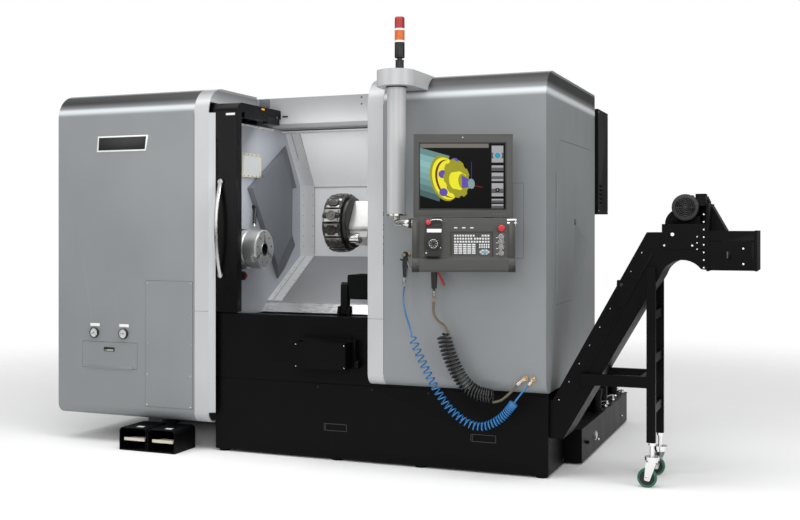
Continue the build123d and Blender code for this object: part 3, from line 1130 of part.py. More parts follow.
def leg_places():
    """The Y spans of the two legs, beside the trough."""
    return ((TROUGH_Y[0] - LEG_DEPTH, TROUGH_Y[0]), (TROUGH_Y[1], TROUGH_Y[1] + LEG_DEPTH))


def conveyor_legs():
    """The two legs with their caster sockets, the ties between them and the braces to the incline."""
    frame = None
    for y in leg_places():
        leg = block(LEG_X, y, (LEG_BOTTOM, 998))
        leg -= block((LEG_X[0] + 4, LEG_X[1] - 4), (y[0] + 4, y[1] - 4), (LEG_BOTTOM + 30, 994))
        brace = block((trough_line(452, True) - 60, LEG_X[0] + 1), y, (451, 503))
        leg += brace
        frame = leg if frame is None else frame + leg
    for z in (330, 560, 760):
        frame += block((LEG_X[0] + 8, LEG_X[1] - 8), TROUGH_Y, (z, z + 40))
    frame += block((LEG_X[0] - 40, LEG_X[0] - 20), TROUGH_Y, (455, 495))
    return frame


def caster_axis(index):
    """The X and Y of one caster's swivel."""
    return STEM_X, sum(leg_places()[index]) / 2


def caster_fork(index):
    """A caster's threaded stem, head and fork, with the axle across it."""
    x, y = caster_axis(index)
    fork = rod_z(10, x, y, (140, LEG_BOTTOM)) + rod_z(16, x, y, (LEG_BOTTOM - 12, LEG_BOTTOM))
    fork += rod_z(33, x, y, (126, 142)) + rod_z(27, x, y, (116, 127))
    half = WHEEL_WIDTH / 2 + 1.5
    cheek = [(x - 26, 118), (x + 22, 118), (x - CASTER_TRAIL + 12, WHEEL_RADIUS - 14),
             (x - CASTER_TRAIL - 12, WHEEL_RADIUS - 10)]
    for low, high in ((y - half - 3, y - half), (y + half, y + half + 3)):
        fork += along_y(cheek, (low, high), 7.0)
    return fork + rod_y(5, x - CASTER_TRAIL, (y - half - 6, y + half + 6), WHEEL_RADIUS)


def caster_wheel(index):
    """A caster's wheel: green tread on a dished hub, bored for the axle."""
    x, y = caster_axis(index)
    half = WHEEL_WIDTH / 2
    profile = [(0, 5.05), (WHEEL_WIDTH, 5.05), (WHEEL_WIDTH, 12), (WHEEL_WIDTH - 5, 14),
               (WHEEL_WIDTH - 5, 30), (WHEEL_WIDTH - 1, 32),
               (WHEEL_WIDTH - 1, 40), (WHEEL_WIDTH - 5, 44), (5, 44), (1, 40), (1, 32), (5, 30), (5, 14),
               (0, 12)]
    wheel = revolve(make_face(Polyline(*profile, close=True)), Axis.X, 360)
    return Pos(x - CASTER_TRAIL, y - half, WHEEL_RADIUS) * Rot(0, 0, 90) * wheel


# Coolant tank
def coolant_tank():
    """The coolant tank under the bed, with two pumps, a lid and a drain cock."""
    tank = block(TANK_X, TANK_Y, (10, TANK_TOP))
    tank -= block((TANK_X[0] + PLATE, TANK_X[1] - PLATE), (TANK_Y[0] + PLATE, TANK_Y[1] - PLATE),
                  (10 + PLATE, TANK_TOP - PLATE))
    tank += block((TANK_X[0], TANK_X[1] + 3), (CABINET_DEPTH + 30, TANK_Y[1] + 3),
                  (TANK_TOP - 1, TANK_TOP + 3))
    for x, y, height in ((38, 980, 120), (20, 1240, 190), (-120, 1420, 250), (20, 1560, 150)):
        tank += rod_z(30, x, y, (TANK_TOP + (2 if y > CABINET_DEPTH else -1), TANK_TOP + height))
        tank += rod_z(38, x, y, (TANK_TOP - 1, TANK_TOP + 14)) + rod_z(34, x, y,
                                                                       (TANK_TOP + height - 30,
                                                                        TANK_TOP + height))
    for x in (TANK_X[0] + 60, TANK_X[1] - 44):
        for y in (TANK_Y[0] + 60, TANK_Y[1] - 60):
            tank += rod_z(22, x, y, (0, 11))
    tank += rod_x(9, (TANK_X[1] - 1, TANK_X[1] + 16), TANK_Y[0] + 110, 96)
    return tank


# Foot pedals
PEDAL_X = ((-2289.0, -2119.0), (-2113.0, -1943.0))
PEDAL_Y = (-130.0, 66.0)
PEDAL_TOP = 122.0
PEDAL_WALL = 5.0
TREADLE_PIVOT = (30.0, 34.0)


def pedal_housings():
    """The two hoods over the treadles, open at the front, on one plate."""
    housings = block((PEDAL_X[0][0], PEDAL_X[1][1]), PEDAL_Y, (0, 6))
    for low, high in PEDAL_X:
        hood = block((low, high), PEDAL_Y, (5, PEDAL_TOP))
        hood = fillet(hood.edges().filter_by(Axis.Y).sort_by(Axis.Z)[-2:], 22)
        inner = block((low + PEDAL_WALL, high - PEDAL_WALL), (PEDAL_Y[0] - 1, PEDAL_Y[1] - PEDAL_WALL),
                      (6, PEDAL_TOP - PEDAL_WALL))
        inner = fillet(inner.edges().filter_by(Axis.Y).sort_by(Axis.Z)[-2:], 17)
        hood -= inner
        for x in (low + PEDAL_WALL, high - PEDAL_WALL - 14):
            ear = block((x, x + 14), (TREADLE_PIVOT[0] - 14, TREADLE_PIVOT[0] + 14),
                        (5, TREADLE_PIVOT[1] + 12))
            hood += ear - rod_x(5 + FIT, (x - 1, x + 15), *TREADLE_PIVOT)
        housings += hood
    return housings


def treadle(index):
    """One treadle: a bent plate with a heel stop, on its pin."""
    low, high = PEDAL_X[index]
    x = (low + PEDAL_WALL + 16, high - PEDAL_WALL - 16)
    y, z = TREADLE_PIVOT
    plate = along_x([(y + 8, z - 6), (y + 8, z + 6), (-112, 62), (-112, 54)], x, 2.0)
    plate += block(x, (-116, -111), (50, 66))
    return plate + rod_x(5, (low + PEDAL_WALL + 1, high - PEDAL_WALL - 1), y, z)


def build():
    """Every node by name, in the machine's frame."""
    nodes = {
        "base_frame": base_frame(),
        "slant_bed": slant_bed(),
        "left_cabinet": left_cabinet(),
        "left_pillar": left_pillar(),
        "right_cabinet": right_cabinet(),
        "right_pillar": right_pillar(),
        "roof_header": roof_header(),
        "chamber_liner": chamber_liner(),
        "headstock_hood": headstock_hood(),
        "cooling_unit": cooling_unit(),
        "pendant_post": pendant_post(),
        "stack_light": stack_light(),
        "parts_bin": parts_bin(),
        "conveyor_trough": conveyor_trough(),
        "conveyor_motor": conveyor_motor(),
        "conveyor_legs": conveyor_legs(),
        "coolant_tank": coolant_tank(),
        "pedal_housings": pedal_housings(),
        "hose_fittings": hose_fittings(),
        "air_hose_lead": tube(AIR_LEAD, AIR_HOSE, "air lead"),
        "air_hose_coil": tube(AIR_COIL, AIR_COIL_RADIUS, "air coil"),
        "air_hose_tail": tube(AIR_TAIL, AIR_HOSE, "air tail"),
        "coolant_hose_lead": tube(COOLANT_LEAD, COOLANT_HOSE, "coolant lead"),
        "coolant_hose_coil": tube(COOLANT_COIL, COOLANT_COIL_RADIUS, "coolant coil"),
        "coolant_hose_tail": tube(COOLANT_TAIL, COOLANT_HOSE, "coolant tail"),
        "door_frame": door_frame(),
        "door_window": door_window(),
        "door_handle": door_handle(),
        "chuck_body": chuck_body(),
        "saddle": saddle(),
        "turret_housing": turret_housing(),
        "turret_disc": turret_disc(),
        "way_cover": way_cover(),
        "catcher_arm": catcher_arm(),
        "console_arm": console_arm(),
        "console_monitor": console_monitor(),
        "console_panel": console_panel(),
        "console_estop": console_estop(),
        "handset": handset(),
        "handset_wheel": handset_wheel(),
        "handset_estop": handset_estop(),
        "air_gun": air_gun(),
        "air_gun_trigger": air_gun_trigger(),
        "coolant_gun": coolant_gun(),
        "coolant_gun_trigger": coolant_gun_trigger(),
        "side_door": side_door(),
        "filter_door": filter_door(),
    }
    for index in range(3):
        nodes[f"chuck_jaw_{index + 1}"] = chuck_jaw(index)
    for index in range(len(BUTTON_Z)):
        nodes[f"push_button_{index + 1}"] = push_button(index)
    for index, side in enumerate(("left", "right")):
        nodes[f"treadle_{side}"] = treadle(index)
        nodes[f"caster_fork_{index + 1}"] = caster_fork(index)
        nodes[f"caster_wheel_{index + 1}"] = caster_wheel(index)
    return nodes


CORD_NODES = ("air_hose_lead", "air_hose_coil", "air_hose_tail",
              "coolant_hose_lead", "coolant_hose_coil", "coolant_hose_tail")


def bottom_centre(nodes):
    """The bottom centre of everything but the hoses, which becomes the part's origin."""
    boxes = [shape.bounding_box() for name, shape in nodes.items() if name not in CORD_NODES]
    low = [min(tuple(box.min)[axis] for box in boxes) for axis in range(3)]
    high = [max(tuple(box.max)[axis] for box in boxes) for axis in range(3)]
    return Vector((low[0] + high[0]) / 2, (low[1] + high[1]) / 2, low[2])


NODES = build()
ORIGIN = bottom_centre(NODES)
print("origin in the machine's frame", [round(value, 3) for value in tuple(ORIGIN)])
os.makedirs("parts", exist_ok=True)
for node_name, node_shape in NODES.items():
    export_step(Pos(*(-ORIGIN)) * node_shape, f"parts/{node_name}.step")
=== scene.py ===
import logging
from dataclasses import dataclass
from enum import Enum
from math import cos, radians, sin, tau
from typing import Callable, Iterable, Sequence

import bmesh
import bpy
from mathutils import Matrix, Vector


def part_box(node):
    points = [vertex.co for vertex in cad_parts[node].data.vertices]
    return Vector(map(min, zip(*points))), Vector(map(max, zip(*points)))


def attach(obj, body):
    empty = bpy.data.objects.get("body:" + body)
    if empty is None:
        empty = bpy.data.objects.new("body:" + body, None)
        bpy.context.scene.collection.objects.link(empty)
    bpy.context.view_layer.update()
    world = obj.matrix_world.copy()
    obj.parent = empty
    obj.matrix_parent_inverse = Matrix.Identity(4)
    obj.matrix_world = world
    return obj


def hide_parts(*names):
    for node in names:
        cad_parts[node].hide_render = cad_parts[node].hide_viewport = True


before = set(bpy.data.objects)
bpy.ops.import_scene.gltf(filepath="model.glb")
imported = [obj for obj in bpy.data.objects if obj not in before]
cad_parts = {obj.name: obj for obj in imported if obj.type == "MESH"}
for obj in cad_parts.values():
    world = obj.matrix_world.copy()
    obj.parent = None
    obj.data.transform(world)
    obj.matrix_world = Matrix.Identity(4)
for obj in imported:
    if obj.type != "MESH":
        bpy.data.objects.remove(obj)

logging.basicConfig(level=logging.INFO, format="%(message)s")
LOG = logging.getLogger("lathe")

Colour = tuple[float, float, float]
Place = Sequence[float]
Socket = bpy.types.NodeSocket
Span = tuple[float, float]
Outline = Sequence[tuple[float, float]]

# The machine's own frame, in millimetres: X is 0 at the right cover's outer side, Y at the covers' front.
RIGHT_COVER_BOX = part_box("right_cabinet")
ZERO = Vector((RIGHT_COVER_BOX[1].x, RIGHT_COVER_BOX[0].y, 0))
MACHINE = Matrix.Translation(ZERO) @ Matrix.Diagonal((0.001, 0.001, 0.001, 1))
CONSOLE_TURN = radians(21.6)
CONSOLE = MACHINE @ Matrix.Translation((-543, -308, 0)) @ Matrix.Rotation(CONSOLE_TURN, 4, "Z")
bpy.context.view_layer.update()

# Edges past these angles: shown sharp, bevelled when a part is made, and given a live bevel
SHARP_ANGLE = radians(32)
MADE_EDGE_ANGLE = radians(30)
LIVE_EDGE_ANGLE = radians(38)

# The order of every smooth curve
CURVE_ORDER = 3


class Axis(Enum):
    """A direction of the machine, and the two coordinates that lie across it."""

    X = 0
    Y = 1
    Z = 2

    def point(self, a: float, b: float, along: float) -> Vector:
        """The point at two cross coordinates, in the order X, Y, Z, and one place along the axis.

        Args:
            a: the first cross coordinate.
            b: the second.
            along: the place along the axis.

        Returns:
            The point.
        """
        cross = [a, b]
        cross.insert(self.value, along)
        return Vector(cross)

    @property
    def direction(self) -> Vector:
        """The unit vector along the axis."""
        return Vector([1 if index == self.value else 0 for index in range(3)])

    @property
    def turn(self) -> Matrix:
        """The rotation that lays a shape made along Z along this axis."""
        return self.direction.to_track_quat("Z", "Y").to_matrix().to_4x4()


# Shader maths
class Value:
    """A number in a material's nodes, with the arithmetic that Python gives a number."""

    def __init__(self, kit: "Kit", socket: Socket) -> None:
        self.kit = kit
        self.socket = socket

    def maths(self, operation: str, *others: "Value | float", swapped: bool = False) -> "Value":
        """Add a Math node.

        Args:
            operation: the Math node's operation.
            others: the other operands.
            swapped: whether this value comes second.

        Returns:
            The result.
        """
        operands = [self, *others]
        if swapped:
            operands.reverse()
        sockets = {index: operand for index, operand in enumerate(operands)}
        return Value(self.kit, self.kit.node("ShaderNodeMath", {"operation": operation}, sockets).outputs[0])

    def __add__(self, other: "Value | float") -> "Value":
        """The sum."""
        return self.maths("ADD", other)

    __radd__ = __add__

    def __sub__(self, other: "Value | float") -> "Value":
        """The difference."""
        return self.maths("SUBTRACT", other)

    def __rsub__(self, other: float) -> "Value":
        """The difference from a number."""
        return self.maths("SUBTRACT", other, swapped=True)

    def __mul__(self, other: "Value | float") -> "Value":
        """The product."""
        return self.maths("MULTIPLY", other)

    __rmul__ = __mul__

    def __pow__(self, exponent: float) -> "Value":
        """The power."""
        return self.maths("POWER", exponent)

    def clear_of(self, low: float, high: float) -> "Value":
        """How far this has risen from low to high, smoothly from 0 to 1."""
        ranged = self.kit.node("ShaderNodeMapRange", {"interpolation_type": "SMOOTHSTEP"},
            {"Value": self, "From Min": low, "From Max": high})
        return Value(self.kit, ranged.outputs[0])


class Nodes:
    """The one place where nodes are added to a tree."""

    def __init__(self, tree: bpy.types.NodeTree) -> None:
        """Keep the tree."""
        self.tree = tree

    def node(self, kind: str, settings: dict | None = None, sockets: dict | None = None) -> bpy.types.Node:
        """Add one node.

        Args:
            kind: the node's type.
            settings: its own settings.
            sockets: numbers, colours, sockets or values for its inputs, by name or place.

        Returns:
            The node.
        """
        made = self.tree.nodes.new(kind)
        for name, setting in (settings or {}).items():
            setattr(made, name, setting)
        for name, given in (sockets or {}).items():
            source = given.socket if isinstance(given, Value) else given
            if isinstance(source, Socket):
                self.tree.links.new(source, made.inputs[name])
            else:
                made.inputs[name].default_value = source
        return made

    def pick(self, factor: Socket, no: object, yes: object) -> Socket:
        """One of two numbers."""
        return self.node("ShaderNodeMix", None, {0: factor, 2: no, 3: yes}).outputs[0]


class Kit(Nodes):
    """The nodes of one material, built round a Principled shader."""

    def __init__(self, name: str) -> None:
        """Start an empty material with its shader and output.

        Args:
            name: the material's name.
        """
        self.material = bpy.data.materials.new(name)
        self.material.use_nodes = True
        super().__init__(self.material.node_tree)
        self.tree.nodes.clear()
        self.shader = self.node("ShaderNodeBsdfPrincipled")
        self.output = self.node("ShaderNodeOutputMaterial", None, {"Surface": self.shader.outputs[0]})
        self.place = self.node("ShaderNodeTexCoord").outputs["Object"]

    def feed(self, **sockets: object) -> None:
        """Set or link the shader's sockets, named with underscores for spaces.

        Args:
            sockets: numbers, colours, sockets or values, by the input they go to.
        """
        for name, given in sockets.items():
            label = name.replace("_", " ")
            source = given.socket if isinstance(given, Value) else given
            if isinstance(source, Socket):
                self.tree.links.new(source, self.shader.inputs[label])
            else:
                self.shader.inputs[label].default_value = source

    def stretched(self, scale: Place) -> Socket:
        """The object's coordinates with each axis scaled."""
        return self.node("ShaderNodeVectorMath", {"operation": "MULTIPLY"},
            {0: self.place, 1: tuple(scale)}).outputs[0]

    def noise(self, scale: float, detail: float = 2, vector: Socket | None = None) -> Value:
        """Cloudy noise from 0 to 1."""
        made = self.node("ShaderNodeTexNoise", None, {"Vector": vector or self.place, "Scale": scale,
            "Detail": detail})
        return Value(self, made.outputs[0])

    def coordinate(self, axis: Axis) -> Value:
        """One coordinate in the machine's millimetres."""
        split = self.node("ShaderNodeSeparateXYZ", None, {0: self.place})
        return (Value(self, split.outputs[axis.value]) - ZERO[axis.value]) * 1000

    def blend(self, factor: Value, first: object, second: object) -> Socket:
        """A colour between two, by a factor.

        Args:
            factor: 0 for the first colour and 1 for the second.
            first: a colour or a socket.
            second: a colour or a socket.

        Returns:
            The mixed colour.
        """
        colours = [(*colour, 1) if isinstance(colour, tuple) else colour for colour in (first, second)]
        mix = self.node("ShaderNodeMix", {"data_type": "RGBA"}, {0: factor, 6: colours[0], 7: colours[1]})
        return mix.outputs[2]

    def bump(self, height: Value, depth: float) -> None:
        """Give the surface a relief of that depth in metres."""
        made = self.node("ShaderNodeBump", None, {"Strength": 1, "Distance": depth, "Height": height})
        self.tree.links.new(made.outputs[0], self.shader.inputs["Normal"])


def darker(colour: Colour, part: float) -> Colour:
    """A colour multiplied by a number."""
    return (colour[0] * part, colour[1] * part, colour[2] * part)


# Finishes
@dataclass(frozen=True)
class Finish:
    """What every finish has: a name, a colour and a gloss."""

    name: str
    colour: Colour
    roughness: float = 0.45

    def dress(self, kit: Kit) -> None:
        """Feed the shader; each finish has its own way."""
        raise NotImplementedError

    def material(self) -> bpy.types.Material:
        """The material, made once.

        Returns:
            The material.
        """
        known = bpy.data.materials.get(self.name)
        if known is None:
            kit = Kit(self.name)
            self.dress(kit)
            known = kit.material
        return known


@dataclass(frozen=True)
class Paint(Finish):
    """Sprayed paint on sheet metal, with a fine orange peel, slight clouding and handling marks, and
    optionally a painted highlight band and painted shade over the top bend.
    """

    peel: float = 0.00003
    clouding: float = 0.05
    specular: float = 0.5
    painted_crown_span: Span | None = None
    painted_crown_shade: float = 0.3
    painted_crown_highlight: float = 2.2
    coat: float = 0
    flat_top: Span = (1915.5, 1918.2)

    def dress(self, kit: Kit) -> None:
        """Colour with clouding and an optional painted highlight band and painted shade over the top bend,
        gloss with wiped marks, and the peel.

        Args:
            kit: the nodes of its material.
        """
        cloud = kit.noise(1.7, 3)
        wiped = kit.noise(9, 4, kit.stretched((1, 1, 0.35)))
        colour = kit.blend(cloud.clear_of(0.3, 0.7), darker(self.colour, 1 - self.clouding),
            darker(self.colour, 1 + self.clouding))
        # Painted light over the top bend: a pale band at its foot is a painted highlight, the bend above it
        # is darkened as painted shade, and the flat top is set to 0.8 of the colour.
        if self.painted_crown_span:
            low, high = self.painted_crown_span
            height = kit.coordinate(Axis.Z)
            painted_highlight_band = height.clear_of(low - 26, low) * (1 - height.clear_of(low + 4, low + 24))
            colour = kit.blend(painted_highlight_band * 0.8, colour, darker(self.colour, self.painted_crown_highlight))
            colour = kit.blend(height.clear_of(low + 8, high), colour, darker(self.colour, self.painted_crown_shade))
            colour = kit.blend(height.clear_of(*self.flat_top), colour, darker(self.colour, 0.8))
        kit.feed(Base_Color=colour, Roughness=(wiped - 0.5) * 0.16 + self.roughness,
            Specular_IOR_Level=self.specular, Coat_Weight=self.coat, Coat_Roughness=0.12)
        kit.bump(kit.noise(620, 2), self.peel)


@dataclass(frozen=True)
class Brushed(Finish):
    """Bare sheet steel with a grain along one axis and cloudy wiping marks."""

    grain: Axis = Axis.X
    metal: float = 0.85
    marks: float = 0.12

    def dress(self, kit: Kit) -> None:
        """Long streaks across the gloss and the colour, and a shallow grain.

        Args:
            kit: the nodes of its material.
        """
        scale = [900, 900, 900]
        scale[self.grain.value] = 12
        streaks = kit.noise(1, 3, kit.stretched(scale))
        cloud = kit.noise(4, 4)
        tone = streaks * 0.35 + cloud * 0.65
        kit.feed(Base_Color=kit.blend(tone, darker(self.colour, 1 - self.marks),
            darker(self.colour, 1 + self.marks)), Metallic=self.metal,
            Roughness=(tone - 0.5) * 0.3 + self.roughness)
        kit.bump(streaks, 0.00002)


@dataclass(frozen=True)
class Turned(Finish):
    """Metal turned about an axis along X, with fine tool rings and darker bands."""

    centre: Span = (230, 1066)
    rings: float = 1.4

    def dress(self, kit: Kit) -> None:
        """Rings by the distance from the axis, with bands along it.

        Args:
            kit: the nodes of its material.
        """
        across = kit.coordinate(Axis.Y) - self.centre[0]
        up = kit.coordinate(Axis.Z) - self.centre[1]
        radius = (across * across + up * up) ** 0.5
        along = kit.coordinate(Axis.X)
        row = kit.node("ShaderNodeCombineXYZ", None, {0: radius * self.rings, 1: along * self.rings})
        rings = kit.noise(1, 4, row.outputs[0])
        smear = kit.noise(14, 3)
        kit.feed(Base_Color=kit.blend(rings, darker(self.colour, 0.72), darker(self.colour, 1.12)),
            Metallic=1, Roughness=(rings - 0.5) * 0.25 + smear * 0.08 + self.roughness)
        kit.bump(rings, 0.00003)


@dataclass(frozen=True)
class Worn(Finish):
    """Cast, blackened or scuffed metal: mottled, with pale scuffs."""

    scuff: Colour = (0.3, 0.29, 0.28)
    amount: float = 0.12
    metal: float = 0.4
    pitting: float = 0.00012

    def dress(self, kit: Kit) -> None:
        """A mottled ground, scuffs where two noises meet, and a cast skin.

        Args:
            kit: the nodes of its material.
        """
        mottle = kit.noise(30, 5)
        scuffs = kit.noise(140, 3, kit.stretched((1, 0.4, 1.6))).clear_of(0.62, 0.72) * mottle.clear_of(0.45,
            0.6)
        ground = kit.blend(mottle, darker(self.colour, 0.8), darker(self.colour, 1.25))
        kit.feed(Base_Color=kit.blend(scuffs * self.amount * 6, ground, self.scuff), Metallic=self.metal,
            Roughness=mottle * 0.2 + self.roughness - 0.1)
        kit.bump(kit.noise(380, 3), self.pitting)


@dataclass(frozen=True)
class Moulded(Finish):
    """Moulded plastic or rubber, with a fine pebble and an optional clear coat."""

    pebble: float = 0.00005
    coat: float = 0
    through: float = 0

    def dress(self, kit: Kit) -> None:
        """A nearly even colour with handling sheen and the pebble.

        Args:
            kit: the nodes of its material.
        """
        hands = kit.noise(22, 3)
        kit.feed(Base_Color=kit.blend(hands, darker(self.colour, 0.92), darker(self.colour, 1.08)),
            Roughness=(hands - 0.5) * 0.14 + self.roughness, Coat_Weight=self.coat, Coat_Roughness=0.1,
            Subsurface_Weight=self.through, Subsurface_Scale=0.004)
        kit.bump(kit.noise(1300, 2), self.pebble)


@dataclass(frozen=True)
class Plated(Finish):
    """Chrome, nickel or brass plating, with faint polishing marks."""

    def dress(self, kit: Kit) -> None:
        """A mirror whose gloss varies a little.

        Args:
            kit: the nodes of its material.
        """
        marks = kit.noise(60, 4, kit.stretched((1, 1, 0.2)))
        kit.feed(Base_Color=kit.blend(marks, darker(self.colour, 0.94), darker(self.colour, 1.04)),
            Metallic=1, Roughness=marks * 0.08 + self.roughness)


@dataclass(frozen=True)
class Pane(Finish):
    """A clear pane or lens, with a tint and smears."""

    clearness: float = 1

    def dress(self, kit: Kit) -> None:
        """Transmission set once, smears in the gloss only.

        Args:
            kit: the nodes of its material.
        """
        smears = kit.noise(11, 4)
        kit.feed(Base_Color=kit.blend(smears, darker(self.colour, 0.96), self.colour),
            Roughness=smears * 0.05 + self.roughness, Transmission_Weight=self.clearness, IOR=1.49)


@dataclass(frozen=True)
class Glow(Finish):
    """A lit surface behind a diffuser, a little uneven."""

    strength: float = 1

    def dress(self, kit: Kit) -> None:
        """Emission with a faint unevenness over a dark ground.

        Args:
            kit: the nodes of its material.
        """
        uneven = kit.noise(45, 2)
        kit.feed(Base_Color=(*darker(self.colour, 0.1), 1), Roughness=self.roughness,
            Specular_IOR_Level=0.06, Emission_Color=kit.blend(uneven, darker(self.colour, 0.93),
            darker(self.colour, 1.07)), Emission_Strength=self.strength)


# The covers' and pillars' crown settings paint a highlight band and shade over their top bends.
COVER_GREY = Paint("cover_grey_paint", (0.205, 0.218, 0.225), 0.42, painted_crown_span=(1826, 1878), painted_crown_shade=0.02,
    painted_crown_highlight=3.2)
PILLAR_SILVER = Paint("pillar_silver_paint", (0.43, 0.44, 0.448), 0.36, painted_crown_span=(1850, 1920), painted_crown_shade=0.5,
    painted_crown_highlight=1.3)
HEADER_SILVER = Paint("header_silver_paint", (0.30, 0.305, 0.31), 0.5, specular=0.3)
PLAIN_SILVER = Paint("plain_silver_paint", (0.43, 0.435, 0.44), 0.3)
MACHINE_BLACK = Paint("machine_black_paint", (0.0018, 0.0018, 0.0021), 0.4, specular=0.09)
DOOR_BLACK = Paint("door_black_paint", (0.0016, 0.0016, 0.0019), 0.28, specular=0.12, peel=0.00002)
WALL_GREY = Brushed("wall_grey_sheet", (0.39, 0.415, 0.455), 0.5, Axis.Z, 0.15, 0.05)
PANEL_PALE = Brushed("panel_pale_sheet", (0.74, 0.75, 0.76), 0.46, Axis.X, 0.15, 0.04)
FLOOR_SHEET = Brushed("floor_sheet", (0.27, 0.275, 0.285), 0.42, Axis.X, 0.5, 0.09)
STRIP_STEEL = Brushed("strip_steel", (0.70, 0.705, 0.71), 0.34, Axis.Z, 0.4, 0.1)
BRIGHT_RAIL = Brushed("bright_rail", (0.58, 0.58, 0.58), 0.26, Axis.X, 0.7, 0.08)
# The hood's upper and lower bevel facets take darker copies of its grey, as painted shade on facets that
# turn from the light.
HOOD_FACE = Paint("hood_face_grey", (0.125, 0.135, 0.150), 0.5, specular=0.3)
HOOD_UPPER_SHADED = Paint("hood_upper_painted_shade", (0.095, 0.102, 0.112), 0.5, specular=0.3)
HOOD_LOWER_SHADED = Paint("hood_lower_painted_shade", (0.085, 0.092, 0.102), 0.5, specular=0.3)
CAST_GREY = Worn("cast_grey", (0.11, 0.115, 0.12), 0.55, amount=0.03, metal=0.1)
CHROME = Plated("chrome_plate", (0.80, 0.80, 0.80), 0.06)
NICKEL = Plated("nickel_plate", (0.62, 0.61, 0.59), 0.2)
HANDLE_STEEL = Plated("handle_steel", (0.50, 0.50, 0.49), 0.24)
ARM_STEEL = Plated("arm_plated_steel", (0.66, 0.64, 0.60), 0.16)
BRASS = Plated("brass_fitting", (0.66, 0.52, 0.33), 0.24)
CHUCK_STEEL = Turned("chuck_steel", (0.86, 0.86, 0.85), 0.12)
# Dark turned steel for the screw heads, and as painted shade in the bore, the jaws' grooves and the drive
# sleeve's recessed end.
CHUCK_DARK_AND_SHADE = Turned("chuck_dark_and_recess_shade", (0.05, 0.05, 0.05), 0.4)
TURRET_BLACK = Worn("turret_black_oxide", (0.022, 0.020, 0.019), 0.34, amount=0.16, metal=0.6)
TURRET_FLAT = Worn("turret_ground_flat", (0.30, 0.295, 0.285), 0.3, scuff=(0.16, 0.15, 0.14), amount=0.1,
    metal=0.85)
STATION_GREY = Worn("station_plug_grey", (0.11, 0.108, 0.102), 0.36, amount=0.1, metal=0.7)
HOUSING_PALE = Worn("housing_ground_steel", (0.44, 0.44, 0.435), 0.32, scuff=(0.3, 0.3, 0.29), amount=0.04,
    metal=0.55, pitting=0.00003)
CASE_DARK = Moulded("console_dark_case", (0.046, 0.046, 0.043), 0.5)
CASE_RIM = Moulded("console_rim_beige", (0.055, 0.052, 0.045), 0.42)
BAR_BEIGE = Brushed("console_side_bar", (0.048, 0.046, 0.039), 0.38, Axis.Z, 0.3, 0.08)
CAP_BLACK = Moulded("soft_black_plastic", (0.003, 0.003, 0.003), 0.44)
KEY_PALE = Moulded("key_pale_plastic", (0.60, 0.61, 0.61), 0.5)
KEY_GREY = Moulded("key_grey_plastic", (0.22, 0.22, 0.22), 0.45)
KEY_BLUE = Moulded("key_blue_plastic", (0.05, 0.36, 0.52), 0.4)
LABEL_WHITE = Moulded("label_white_film", (0.78, 0.78, 0.77), 0.4)
STOP_RED = Moulded("stop_red_plastic", (0.48, 0.012, 0.014), 0.24, coat=0.3)
LEVER_RED = Moulded("lever_red_paint", (0.42, 0.010, 0.014), 0.3, coat=0.2)
GUN_BLACK = Moulded("gun_black_plastic", (0.012, 0.012, 0.012), 0.4)
HOSE_BLUE = Moulded("hose_blue_polyurethane", (0.007, 0.13, 0.34), 0.18, pebble=0.00001, coat=0.3,
    through=0.05)
HOSE_BLACK = Moulded("hose_black_polyurethane", (0.004, 0.004, 0.004), 0.3, pebble=0.00001, coat=0.1)
HOSE_TAN = Moulded("hose_tan_rubber", (0.115, 0.09, 0.055), 0.34, pebble=0.00002)
TREAD_GREEN = Moulded("tread_green_rubber", (0.006, 0.10, 0.055), 0.42)
CREAM = Paint("treadle_cream_paint", (0.56, 0.53, 0.42), 0.42)
LAMP_RED = Moulded("lamp_red_lens", (0.33, 0.005, 0.007), 0.18, coat=0.3, through=0.1)
LAMP_AMBER = Moulded("lamp_amber_lens", (0.60, 0.12, 0.008), 0.18, coat=0.3, through=0.1)
AMBER_GLOW = Glow("amber_light", (0.95, 0.42, 0.04), 0.3, 0.9)
WORK_LAMP = Glow("work_lamp_diffuser", (0.66, 0.69, 0.69), 0.4, 0.75)
DOOR_PANE = Pane("door_pane", (0.62, 0.66, 0.66), 0.03, 0.94)
DIAL_GLASS = Pane("dial_glass", (0.97, 0.98, 0.98), 0.01)
SCREEN_BLACK = Glow("screen_black_glass", (0.003, 0.003, 0.0035), 0.3, 0.6)
SEAM_DARK = Moulded("seam_shadow", (0.03, 0.03, 0.032), 0.7)
# A pale finish used as a painted highlight.
PAINTED_SLOT_HIGHLIGHT = Moulded("slot_highlight", (0.70, 0.70, 0.69), 0.3)


